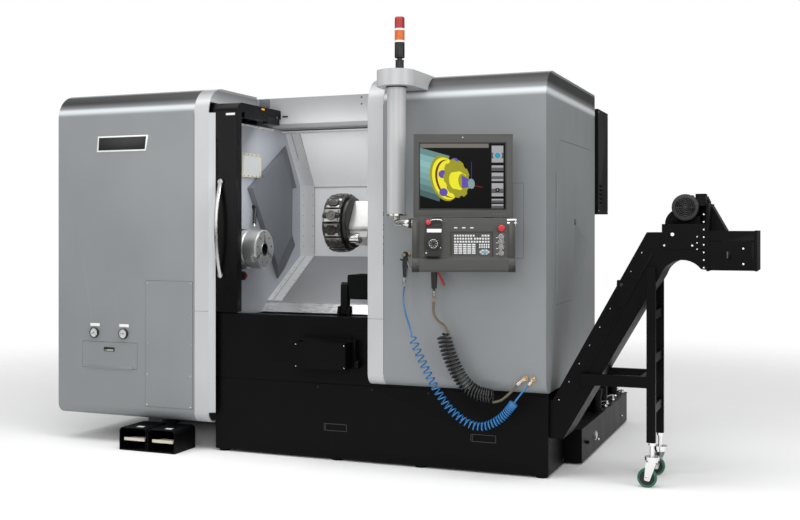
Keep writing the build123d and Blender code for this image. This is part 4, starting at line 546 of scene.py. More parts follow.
# Shapes
class Form:
    """A mesh in the making, in the millimetres of one frame."""

    def __init__(self, place: Matrix = MACHINE) -> None:
        """Start empty, in the machine's frame or another."""
        self.bm = bmesh.new()
        self.place = place
        self.finishes: list[Finish] = []
        self.index = 0

    def coat(self, finish: Finish) -> "Form":
        """Give what is added next this finish.

        Args:
            finish: the finish.

        Returns:
            This form.
        """
        if finish not in self.finishes:
            self.finishes.append(finish)
        self.index = self.finishes.index(finish)
        return self

    def add(self, part: bmesh.types.BMesh, edge: float = 0) -> "Form":
        """Soften a part's sharp edges and join it to the mesh.

        Args:
            part: the mesh that is added and freed.
            edge: the rounding of its sharp edges.

        Returns:
            This form.
        """
        if edge > 0:
            sharp = [item for item in part.edges if item.calc_face_angle(0) > MADE_EDGE_ANGLE]
            bmesh.ops.bevel(part, geom=sharp, offset=edge, offset_type="OFFSET", segments=2, profile=0.5,
                affect="EDGES", material=-1, clamp_overlap=True)
        for face in part.faces:
            face.material_index = self.index
            face.smooth = True
        mesh = bpy.data.meshes.new("part")
        part.to_mesh(mesh)
        part.free()
        self.bm.from_mesh(mesh)
        bpy.data.meshes.remove(mesh)
        return self

    def box(self, x: Span, y: Span, z: Span, edge: float = 1) -> "Form":
        """A box between three pairs of places.

        Args:
            x: its left and right.
            y: its front and back.
            z: its bottom and top.
            edge: the rounding of its edges.

        Returns:
            This form.
        """
        part = bmesh.new()
        spans = (x, y, z)
        centre = Vector([(low + high) / 2 for low, high in spans])
        size = Vector([high - low for low, high in spans])
        bmesh.ops.create_cube(part, size=1, matrix=Matrix.LocRotScale(centre, None, size))
        return self.add(part, edge)

    def frame(self, x: Span, y: Span, z: Span, width: float, edge: float = 1) -> "Form":
        """Four bars round a rectangle that faces along Y.

        Args:
            x: its left and right.
            y: its front and back.
            z: its bottom and top.
            width: the bars' width.
            edge: the rounding of the bars.

        Returns:
            This form.
        """
        for bar in ((z[1] - width, z[1]), (z[0], z[0] + width)):
            self.box(x, y, bar, edge)
        for bar in ((x[0], x[0] + width), (x[1] - width, x[1])):
            self.box(bar, y, z, edge)
        return self

    def rod(self, axis: Axis, radius: float, span: Span, centre: tuple[float, float], edge: float = 0.6,
            steps: int = 32) -> "Form":
        """A round bar along an axis.

        Args:
            axis: the direction of the bar.
            radius: its radius.
            span: its two ends along the axis.
            centre: its place across the axis.
            edge: the rounding of its ends.
            steps: the facets round it.

        Returns:
            This form.
        """
        part = bmesh.new()
        bmesh.ops.create_cone(part, cap_ends=True, segments=steps, radius1=radius, radius2=radius,
            depth=span[1] - span[0], matrix=Matrix.Translation(axis.point(*centre,
            sum(span) / 2)) @ axis.turn)
        return self.add(part, edge)

    def prism(self, axis: Axis, outline: Outline, span: Span, edge: float = 1) -> "Form":
        """A bar of any outline along an axis.

        Args:
            axis: the direction of the bar.
            outline: its corners across the axis.
            span: its two ends along the axis.
            edge: the rounding of its edges.

        Returns:
            This form.
        """
        part = bmesh.new()
        face = part.faces.new([part.verts.new(axis.point(a, b, span[0])) for a, b in outline])
        made = bmesh.ops.extrude_face_region(part, geom=[face])
        moved = [item for item in made["geom"] if isinstance(item, bmesh.types.BMVert)]
        bmesh.ops.translate(part, vec=axis.direction * (span[1] - span[0]), verts=moved)
        bmesh.ops.recalc_face_normals(part, faces=part.faces)
        return self.add(part, edge)

    def turned(self, axis: Axis, outline: Outline, centre: tuple[float, float], steps: int = 48,
            closed: bool = False) -> "Form":
        """A shape of revolution from (along, radius) points.

        Args:
            axis: the axis of revolution.
            outline: (along, radius) points.
            centre: the axis's place across.
            steps: the facets round it.
            closed: whether the last point joins the first.

        Returns:
            This form.
        """
        part = bmesh.new()
        points = [axis.point(centre[0] + radius, centre[1], along) for along, radius in outline]
        verts = [part.verts.new(point) for point in points]
        pairs = list(zip(verts, verts[1:])) + ([(verts[-1], verts[0])] if closed else [])
        edges = [part.edges.new(pair) for pair in pairs]
        bmesh.ops.spin(part, geom=verts + edges, cent=axis.point(*centre, 0), axis=axis.direction,
            dvec=(0, 0, 0), angle=tau, steps=steps, use_merge=True)
        bmesh.ops.remove_doubles(part, verts=part.verts, dist=0.01)
        bmesh.ops.recalc_face_normals(part, faces=part.faces)
        return self.add(part)

    def ball(self, centre: Vector, radii: Place, steps: int = 20) -> "Form":
        """A rounded lump with its own radius along each axis."""
        part = bmesh.new()
        bmesh.ops.create_uvsphere(part, u_segments=steps, v_segments=steps // 2, radius=1,
            matrix=Matrix.LocRotScale(Vector(centre), None, Vector(radii)))
        return self.add(part)

    def tube(self, points: Sequence[Place], radius: float, smooth: bool = True) -> "Form":
        """A round bar through points."""
        self.join(swept("tube", [Vector(point) for point in points], radius, CURVE_ORDER if smooth else 2))
        return self

    def join(self, mesh: bpy.types.Mesh) -> None:
        """Take in a mesh that is in this form's millimetres, and drop it.

        Args:
            mesh: the mesh.
        """
        part = bmesh.new()
        part.from_mesh(mesh)
        bpy.data.meshes.remove(mesh)
        self.add(part)

    def bent(self, matrix: Matrix) -> "Form":
        """Move everything made so far by a matrix in this form's frame."""
        bmesh.ops.transform(self.bm, matrix=matrix, verts=self.bm.verts)
        return self

    def piece(self, name: str, slot: str = "", body: str = "machine", replaces: Sequence[str] = (),
            rounding: float = 0) -> bpy.types.Object:
        """Finish the mesh as a piece.

        Args:
            name: the piece's name.
            slot: not used.
            body: the CAD body that it moves with.
            replaces: the CAD nodes that it stands for.
            rounding: the width of a live bevel, in millimetres.

        Returns:
            The object.
        """
        bmesh.ops.transform(self.bm, matrix=self.place, verts=self.bm.verts)
        mesh = bpy.data.meshes.new(name)
        self.bm.to_mesh(mesh)
        self.bm.free()
        mesh.set_sharp_from_angle(angle=SHARP_ANGLE)
        made = bpy.data.objects.new(name, mesh)
        bpy.context.scene.collection.objects.link(made)
        for finish in self.finishes:
            mesh.materials.append(finish.material())
        if rounding > 0:
            round_edges(made, rounding)
        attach(made, body)
        if replaces:
            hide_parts(*replaces)
        LOG.info("piece %s on %s, %d faces", name, body, len(mesh.polygons))
        return made


def round_edges(made: bpy.types.Object, width: float) -> None:
    """Give an object a live bevel of a width in millimetres.

    Args:
        made: the object.
        width: the bevel's width, in millimetres.
    """
    bevel = made.modifiers.new("edges", "BEVEL")
    bevel.width = width / 1000
    bevel.segments = 2
    bevel.limit_method = "ANGLE"
    bevel.angle_limit = LIVE_EDGE_ANGLE
    bevel.harden_normals = True


def spline(name: str, points: Sequence[Vector], order: int, radius: float) -> bpy.types.Object:
    """A NURBS curve through the ends of its points, with a round section.

    Args:
        name: the curve's name.
        points: its control points.
        order: its order.
        radius: its section's radius.

    Returns:
        The object.
    """
    curve = bpy.data.curves.new(name, "CURVE")
    curve.dimensions = "3D"
    curve.bevel_depth = radius
    curve.bevel_resolution = 4
    curve.resolution_u = 10
    curve.use_fill_caps = True
    line = curve.splines.new("NURBS")
    line.points.add(len(points) - 1)
    for knot, point in zip(line.points, points):
        knot.co = (*point, 1)
    line.order_u = order
    line.use_endpoint_u = True
    made = bpy.data.objects.new(name, curve)
    bpy.context.scene.collection.objects.link(made)
    return made


def swept(name: str, points: Sequence[Vector], radius: float, order: int) -> bpy.types.Mesh:
    """The mesh of a round bar along points.

    Args:
        name: the curve's name.
        points: the points.
        radius: the radius.
        order: the curve's order.

    Returns:
        The mesh.
    """
    made = spline(name, points, order, radius)
    mesh = bpy.data.meshes.new_from_object(made.evaluated_get(bpy.context.evaluated_depsgraph_get()))
    bpy.data.objects.remove(made)
    return mesh


def carried(node: str, finish: Finish) -> bpy.types.Object:
    """Give a CAD node its finish and keep its shape.

    Args:
        node: the CAD node.
        finish: its finish.

    Returns:
        The node's object.
    """
    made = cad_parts[node]
    made.data.materials.clear()
    made.data.materials.append(finish.material())
    LOG.info("node %s as it is", node)
    return made


def softened(node: str, finishes: Sequence[Finish], slot: str, width: float = 1.5, body: str = "machine",
        choose: Callable[[Vector, Vector], int] | None = None) -> bpy.types.Object:
    """A copy of a CAD node with its flat faces joined and its edges rounded, in the node's place.

    Args:
        node: the CAD node.
        finishes: the finishes that its faces may take.
        slot: handed on to the piece, which does not use it.
        width: the rounding's width, in millimetres.
        body: the body that it moves with.
        choose: gives a face's finish by its centre, in the machine's millimetres, and its normal.

    Returns:
        The object.
    """
    form = Form()
    form.bm.from_mesh(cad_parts[node].data)
    bmesh.ops.remove_doubles(form.bm, verts=form.bm.verts, dist=0.000002)
    bmesh.ops.dissolve_limit(form.bm, angle_limit=radians(0.4), verts=form.bm.verts, edges=form.bm.edges)
    bmesh.ops.transform(form.bm, matrix=MACHINE.inverted(), verts=form.bm.verts)
    for finish in finishes:
        form.coat(finish)
    for face in form.bm.faces:
        face.smooth = True
        face.material_index = choose(face.calc_center_median(), face.normal) if choose else 0
    return form.piece(f"{node}_dressed", slot, body, (node,), width)


# Light and camera
@dataclass
class Studio:
    """The photograph's view, a pale floor under a white surround, and soft lamps."""

    eye: tuple[float, float, float] = (1200, -4877, 1170)
    heading: float = 21.607
    lens: float = 48.105
    horizon_shift: float = -0.0375
    ambient: float = 0.5
    gloss: Span = (0.07, 0.85)
    gloss_height: Span = (-0.1, 0.75)
    floor_size: float = 9
    floor_fade: Span = (2.4, 6.5)
    lamps: tuple[tuple, ...] = (
        ("overhead", (-900, -900, 5200), (-900, 300, 0), (6, 3), 170),
        ("left_front", (-4600, -4200, 2600), (-1300, 0, 1000), (3, 3), 62),
        ("front", (800, -5200, 2600), (-1200, 200, 1100), (3.5, 2.5), 100),
        ("right_side", (4300, -1500, 2400), (0, 500, 1000), (3, 2.5), 75),
        ("chamber", (-1250, 330, 1735), (-1250, 850, 1250), (0.8, 0.2), 1.8),
        ("chuck_strip", (-1500, 60, 1420), (-1680, 230, 1066), (0.3, 0.05), 0.9),
    )

    def camera(self) -> None:
        """The camera, level, with the horizon above the middle."""
        data = bpy.data.cameras.new("view")
        data.lens = self.lens
        data.sensor_width = 36
        data.shift_y = self.horizon_shift
        data.clip_end = 200
        made = bpy.data.objects.new("view", data)
        bpy.context.scene.collection.objects.link(made)
        look = Vector((-sin(radians(self.heading)), cos(radians(self.heading)), 0))
        made.location = MACHINE @ Vector(self.eye)
        made.rotation_euler = look.to_track_quat("-Z", "Y").to_euler()
        bpy.context.scene.camera = made

    def world(self) -> None:
        """A white surround for the camera and glass, which gloss sees grey low down and pale overhead."""
        world = bpy.data.worlds.new("surround")
        world.use_nodes = True
        bpy.context.scene.world = world
        nodes = Nodes(world.node_tree)
        ground = nodes.tree.nodes["Background"]
        ground.inputs["Color"].default_value = (1, 1, 1, 1)
        path = nodes.node("ShaderNodeLightPath").outputs
        place = nodes.node("ShaderNodeTexCoord").outputs["Generated"]
        height = nodes.node("ShaderNodeSeparateXYZ", None, {0: place}).outputs["Z"]
        low, high = self.gloss
        gloss = nodes.node("ShaderNodeMapRange", None, {"Value": height, "From Min": self.gloss_height[0],
            "From Max": self.gloss_height[1], "To Min": low, "To Max": high}).outputs[0]
        strength = nodes.pick(path["Is Glossy Ray"], self.ambient, gloss)
        for ray in ("Is Transmission Ray", "Is Camera Ray"):
            strength = nodes.pick(path[ray], strength, 1)
        nodes.tree.links.new(strength, ground.inputs["Strength"])

    def floor(self) -> None:
        """A pale floor that fades into the surround far from the machine."""
        kit = Kit("studio_floor")
        distance = kit.node("ShaderNodeVectorMath", {"operation": "LENGTH"}, {0: kit.place})
        grain = kit.noise(3, 3)
        kit.feed(Base_Color=kit.blend(grain, (0.93, 0.93, 0.93), (0.95, 0.95, 0.95)), Roughness=0.9,
            Specular_IOR_Level=0.1)
        clear = kit.node("ShaderNodeBsdfTransparent")
        fade = Value(kit, distance.outputs["Value"]).clear_of(*self.floor_fade)
        mixed = kit.node("ShaderNodeMixShader", None, {0: fade, 1: kit.shader.outputs[0],
            2: clear.outputs[0]})
        kit.tree.links.new(mixed.outputs[0], kit.output.inputs[0])
        bm = bmesh.new()
        bmesh.ops.create_grid(bm, x_segments=8, y_segments=8, size=self.floor_size)
        mesh = bpy.data.meshes.new("studio_floor")
        bm.to_mesh(mesh)
        bm.free()
        mesh.materials.append(kit.material)
        made = bpy.data.objects.new("studio_floor", mesh)
        bpy.context.scene.collection.objects.link(made)

    def lamp(self, name: str, place: Place, aim: Place, size: Span, power: float) -> None:
        """One soft rectangular lamp, in the machine's millimetres.

        Args:
            name: its name.
            place: where it stands.
            aim: the point that it faces.
            size: its two sides, in metres.
            power: its power, in watts.
        """
        data = bpy.data.lights.new(name, "AREA")
        data.shape = "RECTANGLE"
        data.size, data.size_y = size
        data.energy = power
        made = bpy.data.objects.new(name, data)
        bpy.context.scene.collection.objects.link(made)
        start, end = MACHINE @ Vector(place), MACHINE @ Vector(aim)
        made.location = start
        made.visible_camera = False
        made.rotation_euler = (end - start).to_track_quat("-Z", "Y").to_euler()

    def build(self) -> None:
        """Everything round the machine."""
        self.camera()
        self.world()
        self.floor()
        for lamp in self.lamps:
            self.lamp(*lamp)
        bpy.context.scene.view_settings.view_transform = "Standard"


# Covers
def row_of(start: Place, end: Place, count: int) -> list[Vector]:
    """Evenly spaced points from a start to an end.

    Args:
        start: the first point.
        end: the last point.
        count: how many points.

    Returns:
        The points.
    """
    first, last = Vector(start), Vector(end)
    return [first.lerp(last, index / max(count - 1, 1)) for index in range(count)]


def screw_heads(form: Form, axis: Axis, places: Iterable[Place], radius: float, height: float) -> None:
    """Low round screw heads with a hollow, which face the axis's low side when the height is negative.

    Args:
        form: the form that takes them.
        axis: the direction they face along.
        places: their centres.
        radius: their radius.
        height: their height.
    """
    for place in places:
        cross = [value for index, value in enumerate(place) if index != axis.value]
        along = place[axis.value]
        form.turned(axis, [(along, 0), (along + height * 0.6, 0), (along + height * 0.6, radius * 0.42),
            (along + height, radius * 0.46), (along + height, radius * 0.8), (along + height * 0.55, radius),
            (along, radius), (along, 0)], (cross[0], cross[1]), 14)


@dataclass
class Covers:
    """The grey covers, their silver pillars, the gauges, the service panel and the small doors."""

    gauge_x: Span = (-2546, -2354)
    gauge_z: float = 604
    plate: tuple[Span, Span] = ((-2533, -2196), (1600, 1686))
    service_x: Span = (-2205, -1930)
    service_z: Span = (226, 884)
    seam_z: Span = (739, 729)

    def gauge(self, number: int, x: float) -> None:
        """One pressure gauge: bezel, dial with its divisions, pointer and glass.

        Args:
            number: which gauge it is, from 0.
            x: its centre.
        """
        z = self.gauge_z
        form = Form().coat(CAP_BLACK)
        form.turned(Axis.Y, [(-2, 28.4), (-13, 28.4), (-15.4, 26.6), (-15.4, 25.2), (-12, 24), (-12, 27)],
            (x, z), 48, closed=True)
        form.coat(LABEL_WHITE).rod(Axis.Y, 24.4, (-11.8, -11.2), (x, z), 0, 48)
        form.coat(CAP_BLACK)
        for tick in range(31):
            angle = radians(-135 + 9 * tick)
            long = tick % 5 == 0
            mark = Form().box((-0.45 if long else -0.25, 0.45 if long else 0.25), (-12.05, -11.7),
                (16.5 if long else 18.5, 21.8), 0)
            mark.bent(Matrix.Translation((x, 0, z)) @ Matrix.Rotation(angle, 4, "Y"))
            form.bm.from_mesh(self.mesh_of(mark))
        pointer = Form().prism(Axis.Y, [(-1.4, -7), (1.4, -7), (0.4, 18), (-0.4, 18)], (-12.6, -12.1), 0)
        pointer.bent(Matrix.Translation((x, 0, z)) @ Matrix.Rotation(radians(-118 + 30 * number), 4, "Y"))
        form.bm.from_mesh(self.mesh_of(pointer))
        form.rod(Axis.Y, 3, (-13.2, -12), (x, z), 0.4, 20)
        form.coat(DIAL_GLASS).turned(Axis.Y, [(-13.4, 0), (-13.1, 14), (-12.4, 24.6), (-12.2, 24.6),
            (-12.9, 14), (-13.2, 0)], (x, z), 40)
        form.piece(f"pressure_gauge_{number + 1}", "machine_black")
        label = Form().coat(LABEL_WHITE).box((x - 31, x + 31), (-0.7, 0.2), (639, 655), 0.25)
        label.piece(f"gauge_label_{number + 1}", "pillar_silver")

    @staticmethod
    def mesh_of(form: Form) -> bpy.types.Mesh:
        """The loose mesh of a small form, in its own millimetres.

        Args:
            form: the form, which is freed.

        Returns:
            The mesh.
        """
        mesh = bpy.data.meshes.new("mark")
        form.bm.to_mesh(mesh)
        form.bm.free()
        return mesh

    def fittings(self) -> None:
        """Screws, seams, the bare plate, the pull and the flush panel's outline."""
        form = Form().coat(NICKEL)
        for x in self.service_x:
            screw_heads(form, Axis.Y, row_of((x, -1.6, self.service_z[0]), (x, -1.6, self.service_z[1]), 5),
                5, -1.6)
        form.piece("service_panel_screws", "chrome")
        (left, right), (low, high) = self.plate
        lean = 16
        plate = Form().coat(LABEL_WHITE).prism(Axis.Y, [(left, low), (right - lean, low), (right, high),
            (left + lean / 2, high)], (-2, 0), 0.8)
        plate.coat(CAP_BLACK).prism(Axis.Y, [(left + 11, low + 8), (right - lean - 6, low + 8),
            (right - 13, high - 8), (left + lean / 2 + 7, high - 8)], (-2.6, -1.6), 0.4)
        plate.piece("bare_name_plate", "machine_black")
        seam = Form().coat(SEAM_DARK)
        seam.box((-1906, -1821), (-0.25, 0.3), (self.seam_z[0], self.seam_z[0] + 1.6), 0)
        seam.box((-904, -820), (-0.25, 0.3), (self.seam_z[1], self.seam_z[1] + 1.6), 0)
        service = [(-2214, 216), (-1918, 216), (-1918, 896), (-2214, 896)]
        filter_edge = [(-2631, 410), (-2268, 410), (-2268, 555), (-2631, 555)]
        for corners, depth in ((service, 0.2), (filter_edge, 3.2)):
            for start, end in zip(corners, corners[1:] + corners[:1]):
                seam.tube([(start[0], depth, start[1]), (end[0], depth, end[1])], 1.3, smooth=False)
        side = [(200, 808), (539, 811), (1026, 1096), (1026, 1612), (285, 1612), (200, 1495)]
        for start, end in zip(side, side[1:] + side[:1]):
            seam.tube([(-3.6, *start), (-3.6, *end)], 2.4, smooth=False)
        for low_x in (-1908.2, -819.8):
            bottom = 150 if low_x < -1000 else 405
            seam.box((low_x, low_x + 2), (-0.3, 0.3), (bottom + 50, 1790), 0)
        for x, z in ((-560, 1036), (-560, 1389.6)):
            seam.box((x, -107), (-0.25, 0.3), (z, z + 1.4), 0)
        for x in (-560, -108.4):
            seam.box((x, x + 1.4), (-0.25, 0.3), (1036, 1391), 0)
        for z in (1252, 1240, 1190, 1170, 1132, 1096, 1066, 1052, 1032, 1016, 1000):
            seam.box((-821.5, -816.5), (-0.9, 0.3), (z, z + 7), 0.3)
        seam.piece("cover_seams", "machine_black")
        pull = Form().coat(CAP_BLACK).box((-2486, -2416), (-2.4, 0.5), (503, 526), 1)
        pull.coat(NICKEL).box((-2480, -2422), (-3.2, -2), (507, 513), 0.6)
        pull.piece("filter_door_pull", "machine_black", "filter_door")
        latch = Form().coat(CAP_BLACK).turned(Axis.X, [(3.4, 15.6), (5, 14.6), (5, 12), (4.2, 11), (4.2, 0)],
            (610, 1211), 40)
        latch.coat(NICKEL).box((4, 6.4), (600, 620), (1208.2, 1213.8), 0.8)
        latch.piece("side_door_latch", "machine_black", "side_door")

    def build(self) -> None:
        """The covers, pillars and everything on them."""
        softened("left_cabinet", [COVER_GREY], "cover_grey", 2)
        softened("right_cabinet", [COVER_GREY], "cover_grey", 2)
        softened("side_door", [COVER_GREY], "cover_grey", 1, "side_door")
        softened("filter_door", [COVER_GREY], "cover_grey", 1, "filter_door")
        softened("left_pillar", [PILLAR_SILVER], "pillar_silver", 2)
        softened("right_pillar", [PILLAR_SILVER], "pillar_silver", 2)
        for number, x in enumerate(self.gauge_x):
            self.gauge(number, x)
        self.fittings()


@dataclass
class Header:
    """The fixed roof with its pale front beam."""

    def build(self) -> None:
        """The beam, its end cover and its bolts."""
        softened("roof_header", [HEADER_SILVER, COVER_GREY], "pillar_silver", 1.5,
            choose=lambda centre, normal: 1 if centre.y > 1000 else 0)
        form = Form().coat(HOOD_FACE).box((-1802, -1736), (516.5, 520.5), (1868, 1917), 1)
        form.piece("header_end_cover", "hood_grey")
        form = Form().coat(CAP_BLACK)
        places = [(-1165, 520, z) for z in (1865, 1902)] + [(-1720, 520, 1851)]
        screw_heads(form, Axis.Y, places, 4.5, -2.5)
        form.box((-1652, -1620), (511, 520.5), (1808, 1816), 1)
        form.piece("header_screws", "machine_black")


@dataclass
class SlidingDoor:
    """The black door that is slid open into the left cover."""

    right_edge: float = -1659

    def build(self) -> None:
        """Leaf, pane, handle, a painted highlight bar and the interlock's lamp."""
        softened("door_frame", [DOOR_BLACK], "machine_black", 3, "door")
        carried("door_window", DOOR_PANE)
        self.handle()
        # A pale rounded bar near the door's top edge: a painted highlight.
        form = Form().coat(PAINTED_SLOT_HIGHLIGHT).box((-1725, -1671), (18.6, 21), (1774, 1786), 1.1)
        form.piece("door_top_painted_highlight", "pillar_silver", "door")
        form = Form().coat(AMBER_GLOW).box((-1660, -1657.6), (284, 316), (1827, 1837), 0.8)
        form.coat(CAP_BLACK)
        screw_heads(form, Axis.X, [(-1659, y, 1802) for y in (180, 320)], 4, 1.6)
        form.coat(NICKEL)
        screw_heads(form, Axis.X, [(-1659, 462, 1802)], 6, 1.8)
        form.coat(CAP_BLACK)
        screw_heads(form, Axis.Z, [(x, y, 1845) for x in (-1716, -1676) for y in (340, 470)], 4, 2.4)
        form.piece("interlock_lamp", "machine_black", "door")

    def handle(self) -> None:
        """The bowed chrome bar with flattened ends, on its two black feet."""
        carried("door_handle", HANDLE_STEEL)
        x = self.right_edge - 97
        form = Form().coat(CAP_BLACK)
        for z in (932, 1424):
            form.turned(Axis.Y, [(9, 16.5), (12, 18), (20.5, 18), (20.5, 15.5), (9, 15.5)], (x, z), 32,
                closed=True)
        form.piece("door_handle_collars", "machine_black", "door")


@dataclass
class Base:
    """The black base, its bin and its small things."""

    def build(self) -> None:
        """Plinth, apron, hatches, bed, bin and catcher."""
        softened("base_frame", [MACHINE_BLACK], "machine_black", 1.6)
        softened("slant_bed", [CAST_GREY], "casting_grey", 2)
        softened("parts_bin", [MACHINE_BLACK], "machine_black", 1.2)
        softened("catcher_arm", [MACHINE_BLACK], "machine_black", 1.5, "catcher")
        self.hatches()

    def hatches(self) -> None:
        """The two hatch outlines in the plinth, and the bolts of the apron and the bin."""
        form = Form().coat(CASE_DARK)
        for left, right in ((-1166, -1039), (-383, -256)):
            low, high = 150, 186
            form.frame((left, right), (44.2, 45.4), (low, high), 2, 0).box((left + 8, left + 10),
                (44.2, 45.4), (low, high), 0)
        form.piece("hatch_outlines", "console_grey")
        form = Form().coat(NICKEL)
        screw_heads(form, Axis.Y, [(x, -40, z) for x in (-1284, -1016) for z in (482, 592)], 3.2, -1.6)
        places = [(-978, 40, z) for z in (500, 545, 590)]
        screw_heads(form, Axis.Y, places, 3.2, -1.6)
        form.piece("bin_screws", "chrome")
        form = Form().coat(CAP_BLACK)
        for x in range(-1200, 0, 300):
            screw_heads(form, Axis.Y, [(float(x), 45, 370)], 5, -2.5)
        screw_heads(form, Axis.X, [(0, y, z) for y in (70, 350) for z in (30, 170)], 6, 3)
        form.piece("base_screws", "machine_black")


@dataclass
class Chamber:
    """The sheet-lined turning chamber: walls, rivet strips, lamp and hood."""

    left: float = -1740
    right: float = -500
    fold: tuple[tuple[float, float], ...] = ((724, 1741), (917, 1441), (917, 1010), (500, 766))
    rise: float = 9

    def face_finish(self, centre: Vector, normal: Vector) -> int:
        """Which finish a face of the lining takes.

        Args:
            centre: the face's centre.
            normal: the face's normal.

        Returns:
            The finish's place in the list.
        """
        if abs(normal.x) > 0.9:
            return 0
        if centre.x < self.left + 100 and centre.y > 500 or centre.x > self.right - 100 and centre.y > 500:
            return 2
        if centre.z < 766 and normal.z > 0.3:
            return 4
        if centre.z < 1000:
            return 3
        return 1

    def rivets(self) -> None:
        """Rivet rows and joint lines on the raised end strips and the sill."""
        form = Form().coat(NICKEL)
        lines = Form().coat(SEAM_DARK)
        shift = (Vector((0, -self.rise, -self.rise / 2)), Vector((0, -self.rise, self.rise / 2)))
        for (start, end), count, lift in zip(zip(self.fold, self.fold[1:]), (5, 6, 6),
                (shift[0], shift[0], shift[1])):
            run = Vector((0, end[0] - start[0], end[1] - start[1]))
            out = Vector((0, -run.z, run.y)).normalized() if run.z > 0 else Vector((0, run.z,
                -run.y)).normalized()
            if out.y > 0:
                out.negate()
            for x in (self.left + 22, self.left + 84, self.right - 60):
                for place in row_of((x, *start), (x, *end), count + 2)[1:-1]:
                    spot = place + out * (self.rise * 0.9 + 0.8)
                    form.ball(spot, (3.6, 2.6, 2.6), 10)
            for x in (self.left + 36, self.left + 40, self.left + 94):
                a, b = Vector((x, *start)) + out * (self.rise * 0.92), Vector((x,
                    *end)) + out * (self.rise * 0.92)
                part = bmesh.new()
                corners = [a + Vector((-0.7, 0, 0)) + out * 0.5, a + Vector((0.7, 0, 0)) + out * 0.5,
                    b + Vector((0.7, 0, 0)) + out * 0.5, b + Vector((-0.7, 0, 0)) + out * 0.5]
                part.faces.new([part.verts.new(corner) for corner in corners])
                bmesh.ops.solidify(part, geom=part.faces[:], thickness=1.2)
                bmesh.ops.recalc_face_normals(part, faces=part.faces)
                lines.add(part)
        for x in range(-1466, -1100, 189):
            form.ball((float(x), 468, 741), (6, 3.4, 3.4), 12)
        form.piece("chamber_rivets", "chrome")
        lines.piece("chamber_joints", "machine_black")

    def lamp(self) -> None:
        """The work lamp behind its pane in the left wall, with a cream frame and its screws."""
        x = self.left
        form = Form().coat(CREAM)
        for y, z in (((200, 408), (1460, 1474)), ((200, 408), (1577, 1591)), ((200, 214), (1474, 1577)),
                ((394, 408), (1474, 1577))):
            form.box((x + 4, x + 11.5), y, z, 1)
        form.coat(WORK_LAMP).box((x + 3, x + 6.5), (213, 395), (1473, 1578), 0.3)
        form.coat(CAP_BLACK)
        screw_heads(form, Axis.X, [(x + 11.5, y, z) for y in (215, 260, 304, 348, 393)
            for z in (1467, 1584)], 3.2, 1.5)
        form.piece("work_lamp", "treadle_cream")
        form = Form().coat(STRIP_STEEL).box((x - 0.5, x + 9), (84, 560), (1737, 1749), 0.8)
        form.coat(NICKEL)
        screw_heads(form, Axis.X, [(x + 9, y, 1743) for y in (225, 380, 512)], 4, 2)
        form.piece("wall_top_rail", "liner_steel")
        pipe = Form().coat(CAP_BLACK).tube([(x - 1, 330, 1300), (x + 22, 326, 1286), (x + 28, 300, 1240),
            (x + 40, 276, 1205)], 10)
        pipe.rod(Axis.X, 24, (x, x + 26), (196, 922), 3, 32).rod(Axis.X, 15, (x + 24, x + 34), (196, 922), 2,
            28)
        pipe.coat(NICKEL).tube([(x + 39, 278, 1208), (x + 48, 262, 1186)], 6, smooth=False)
        pipe.coat(STOP_RED).rod(Axis.X, 9, (x + 33, x + 40), (196, 922), 1.5, 24)
        pipe.piece("coolant_pipe", "machine_black")

    def build(self) -> None:
        """The lining and all on it."""
        softened("chamber_liner", [WALL_GREY, PANEL_PALE, STRIP_STEEL, FLOOR_SHEET, BRIGHT_RAIL],
            "liner_steel", 1, choose=self.face_finish)
        # Faces tilted out of the wall's plane take the darker copies: painted shade on the hood's bevel
        # facets.
        softened("headstock_hood", [HOOD_FACE, HOOD_UPPER_SHADED, HOOD_LOWER_SHADED], "hood_grey", 1.2,
            choose=lambda centre, normal:
            0 if normal.x > 0.99 or normal.x < 0.5 else (1 if normal.z > 0 else 2))
        self.rivets()
        self.lamp()


@dataclass
class Chuck:
    """The power chuck and its jaws."""

    face: float = -1609
    centre: Span = (230, 1066)

    def build(self) -> None:
        """The chuck's body, screws and jaws, with a dark bore ring and dark bars on the jaws as painted
        shade.
        """
        softened("chuck_body", [CHUCK_STEEL], "chuck_steel", 0.8, "spindle")
        for index in range(3):
            softened(f"chuck_jaw_{index + 1}", [CHUCK_STEEL], "chuck_steel", 0.6, f"jaw_{index + 1}")
        x, (y, z) = self.face, self.centre
        form = Form().coat(CHUCK_DARK_AND_SHADE)
        for index in range(3):
            for spread in (-20, 20):
                angle = radians(120 * index + 60 + spread)
                spot = (y - 76 * sin(angle), z + 76 * cos(angle))
                form.turned(Axis.X, [(x - 17, 0), (x - 17, 6.8), (x - 5, 6.8), (x - 4, 6), (x - 4, 3.2),
                    (x - 9, 3), (x - 9, 0)], spot, 18)
        # A dark ring lining the bore: painted shade inside the hole.
        form.turned(Axis.X, [(x - 40, 33.9), (x - 1.6, 33.9), (x - 1.6, 30), (x - 40, 30)], self.centre, 48,
            closed=True)
        form.coat(NICKEL)
        form.turned(Axis.X, [(x - 0.6, 37.2), (x + 1.4, 36.6), (x + 1.4, 34.6), (x - 0.6, 34.2)],
            self.centre, 48, closed=True)
        form.piece("chuck_screws", "chuck_steel", "spindle")
        for index in range(3):
            turn = Matrix.Translation((0, y, z)) @ Matrix.Rotation(radians(120 * index), 4, "X")
            # Dark bars across each jaw's face: painted shade in the grooves between its teeth.
            form = Form().coat(CHUCK_DARK_AND_SHADE)
            for step in range(14):
                radius = 46 + step * 3.6
                if min(abs(radius - 58), abs(radius - 82)) > 6.5:
                    form.box((x - 0.6, x + 0.5), (-9, 9), (radius, radius + 1.5), 0)
            form.bent(turn).piece(f"jaw_groove_shade_{index + 1}", "chuck_steel", f"jaw_{index + 1}")


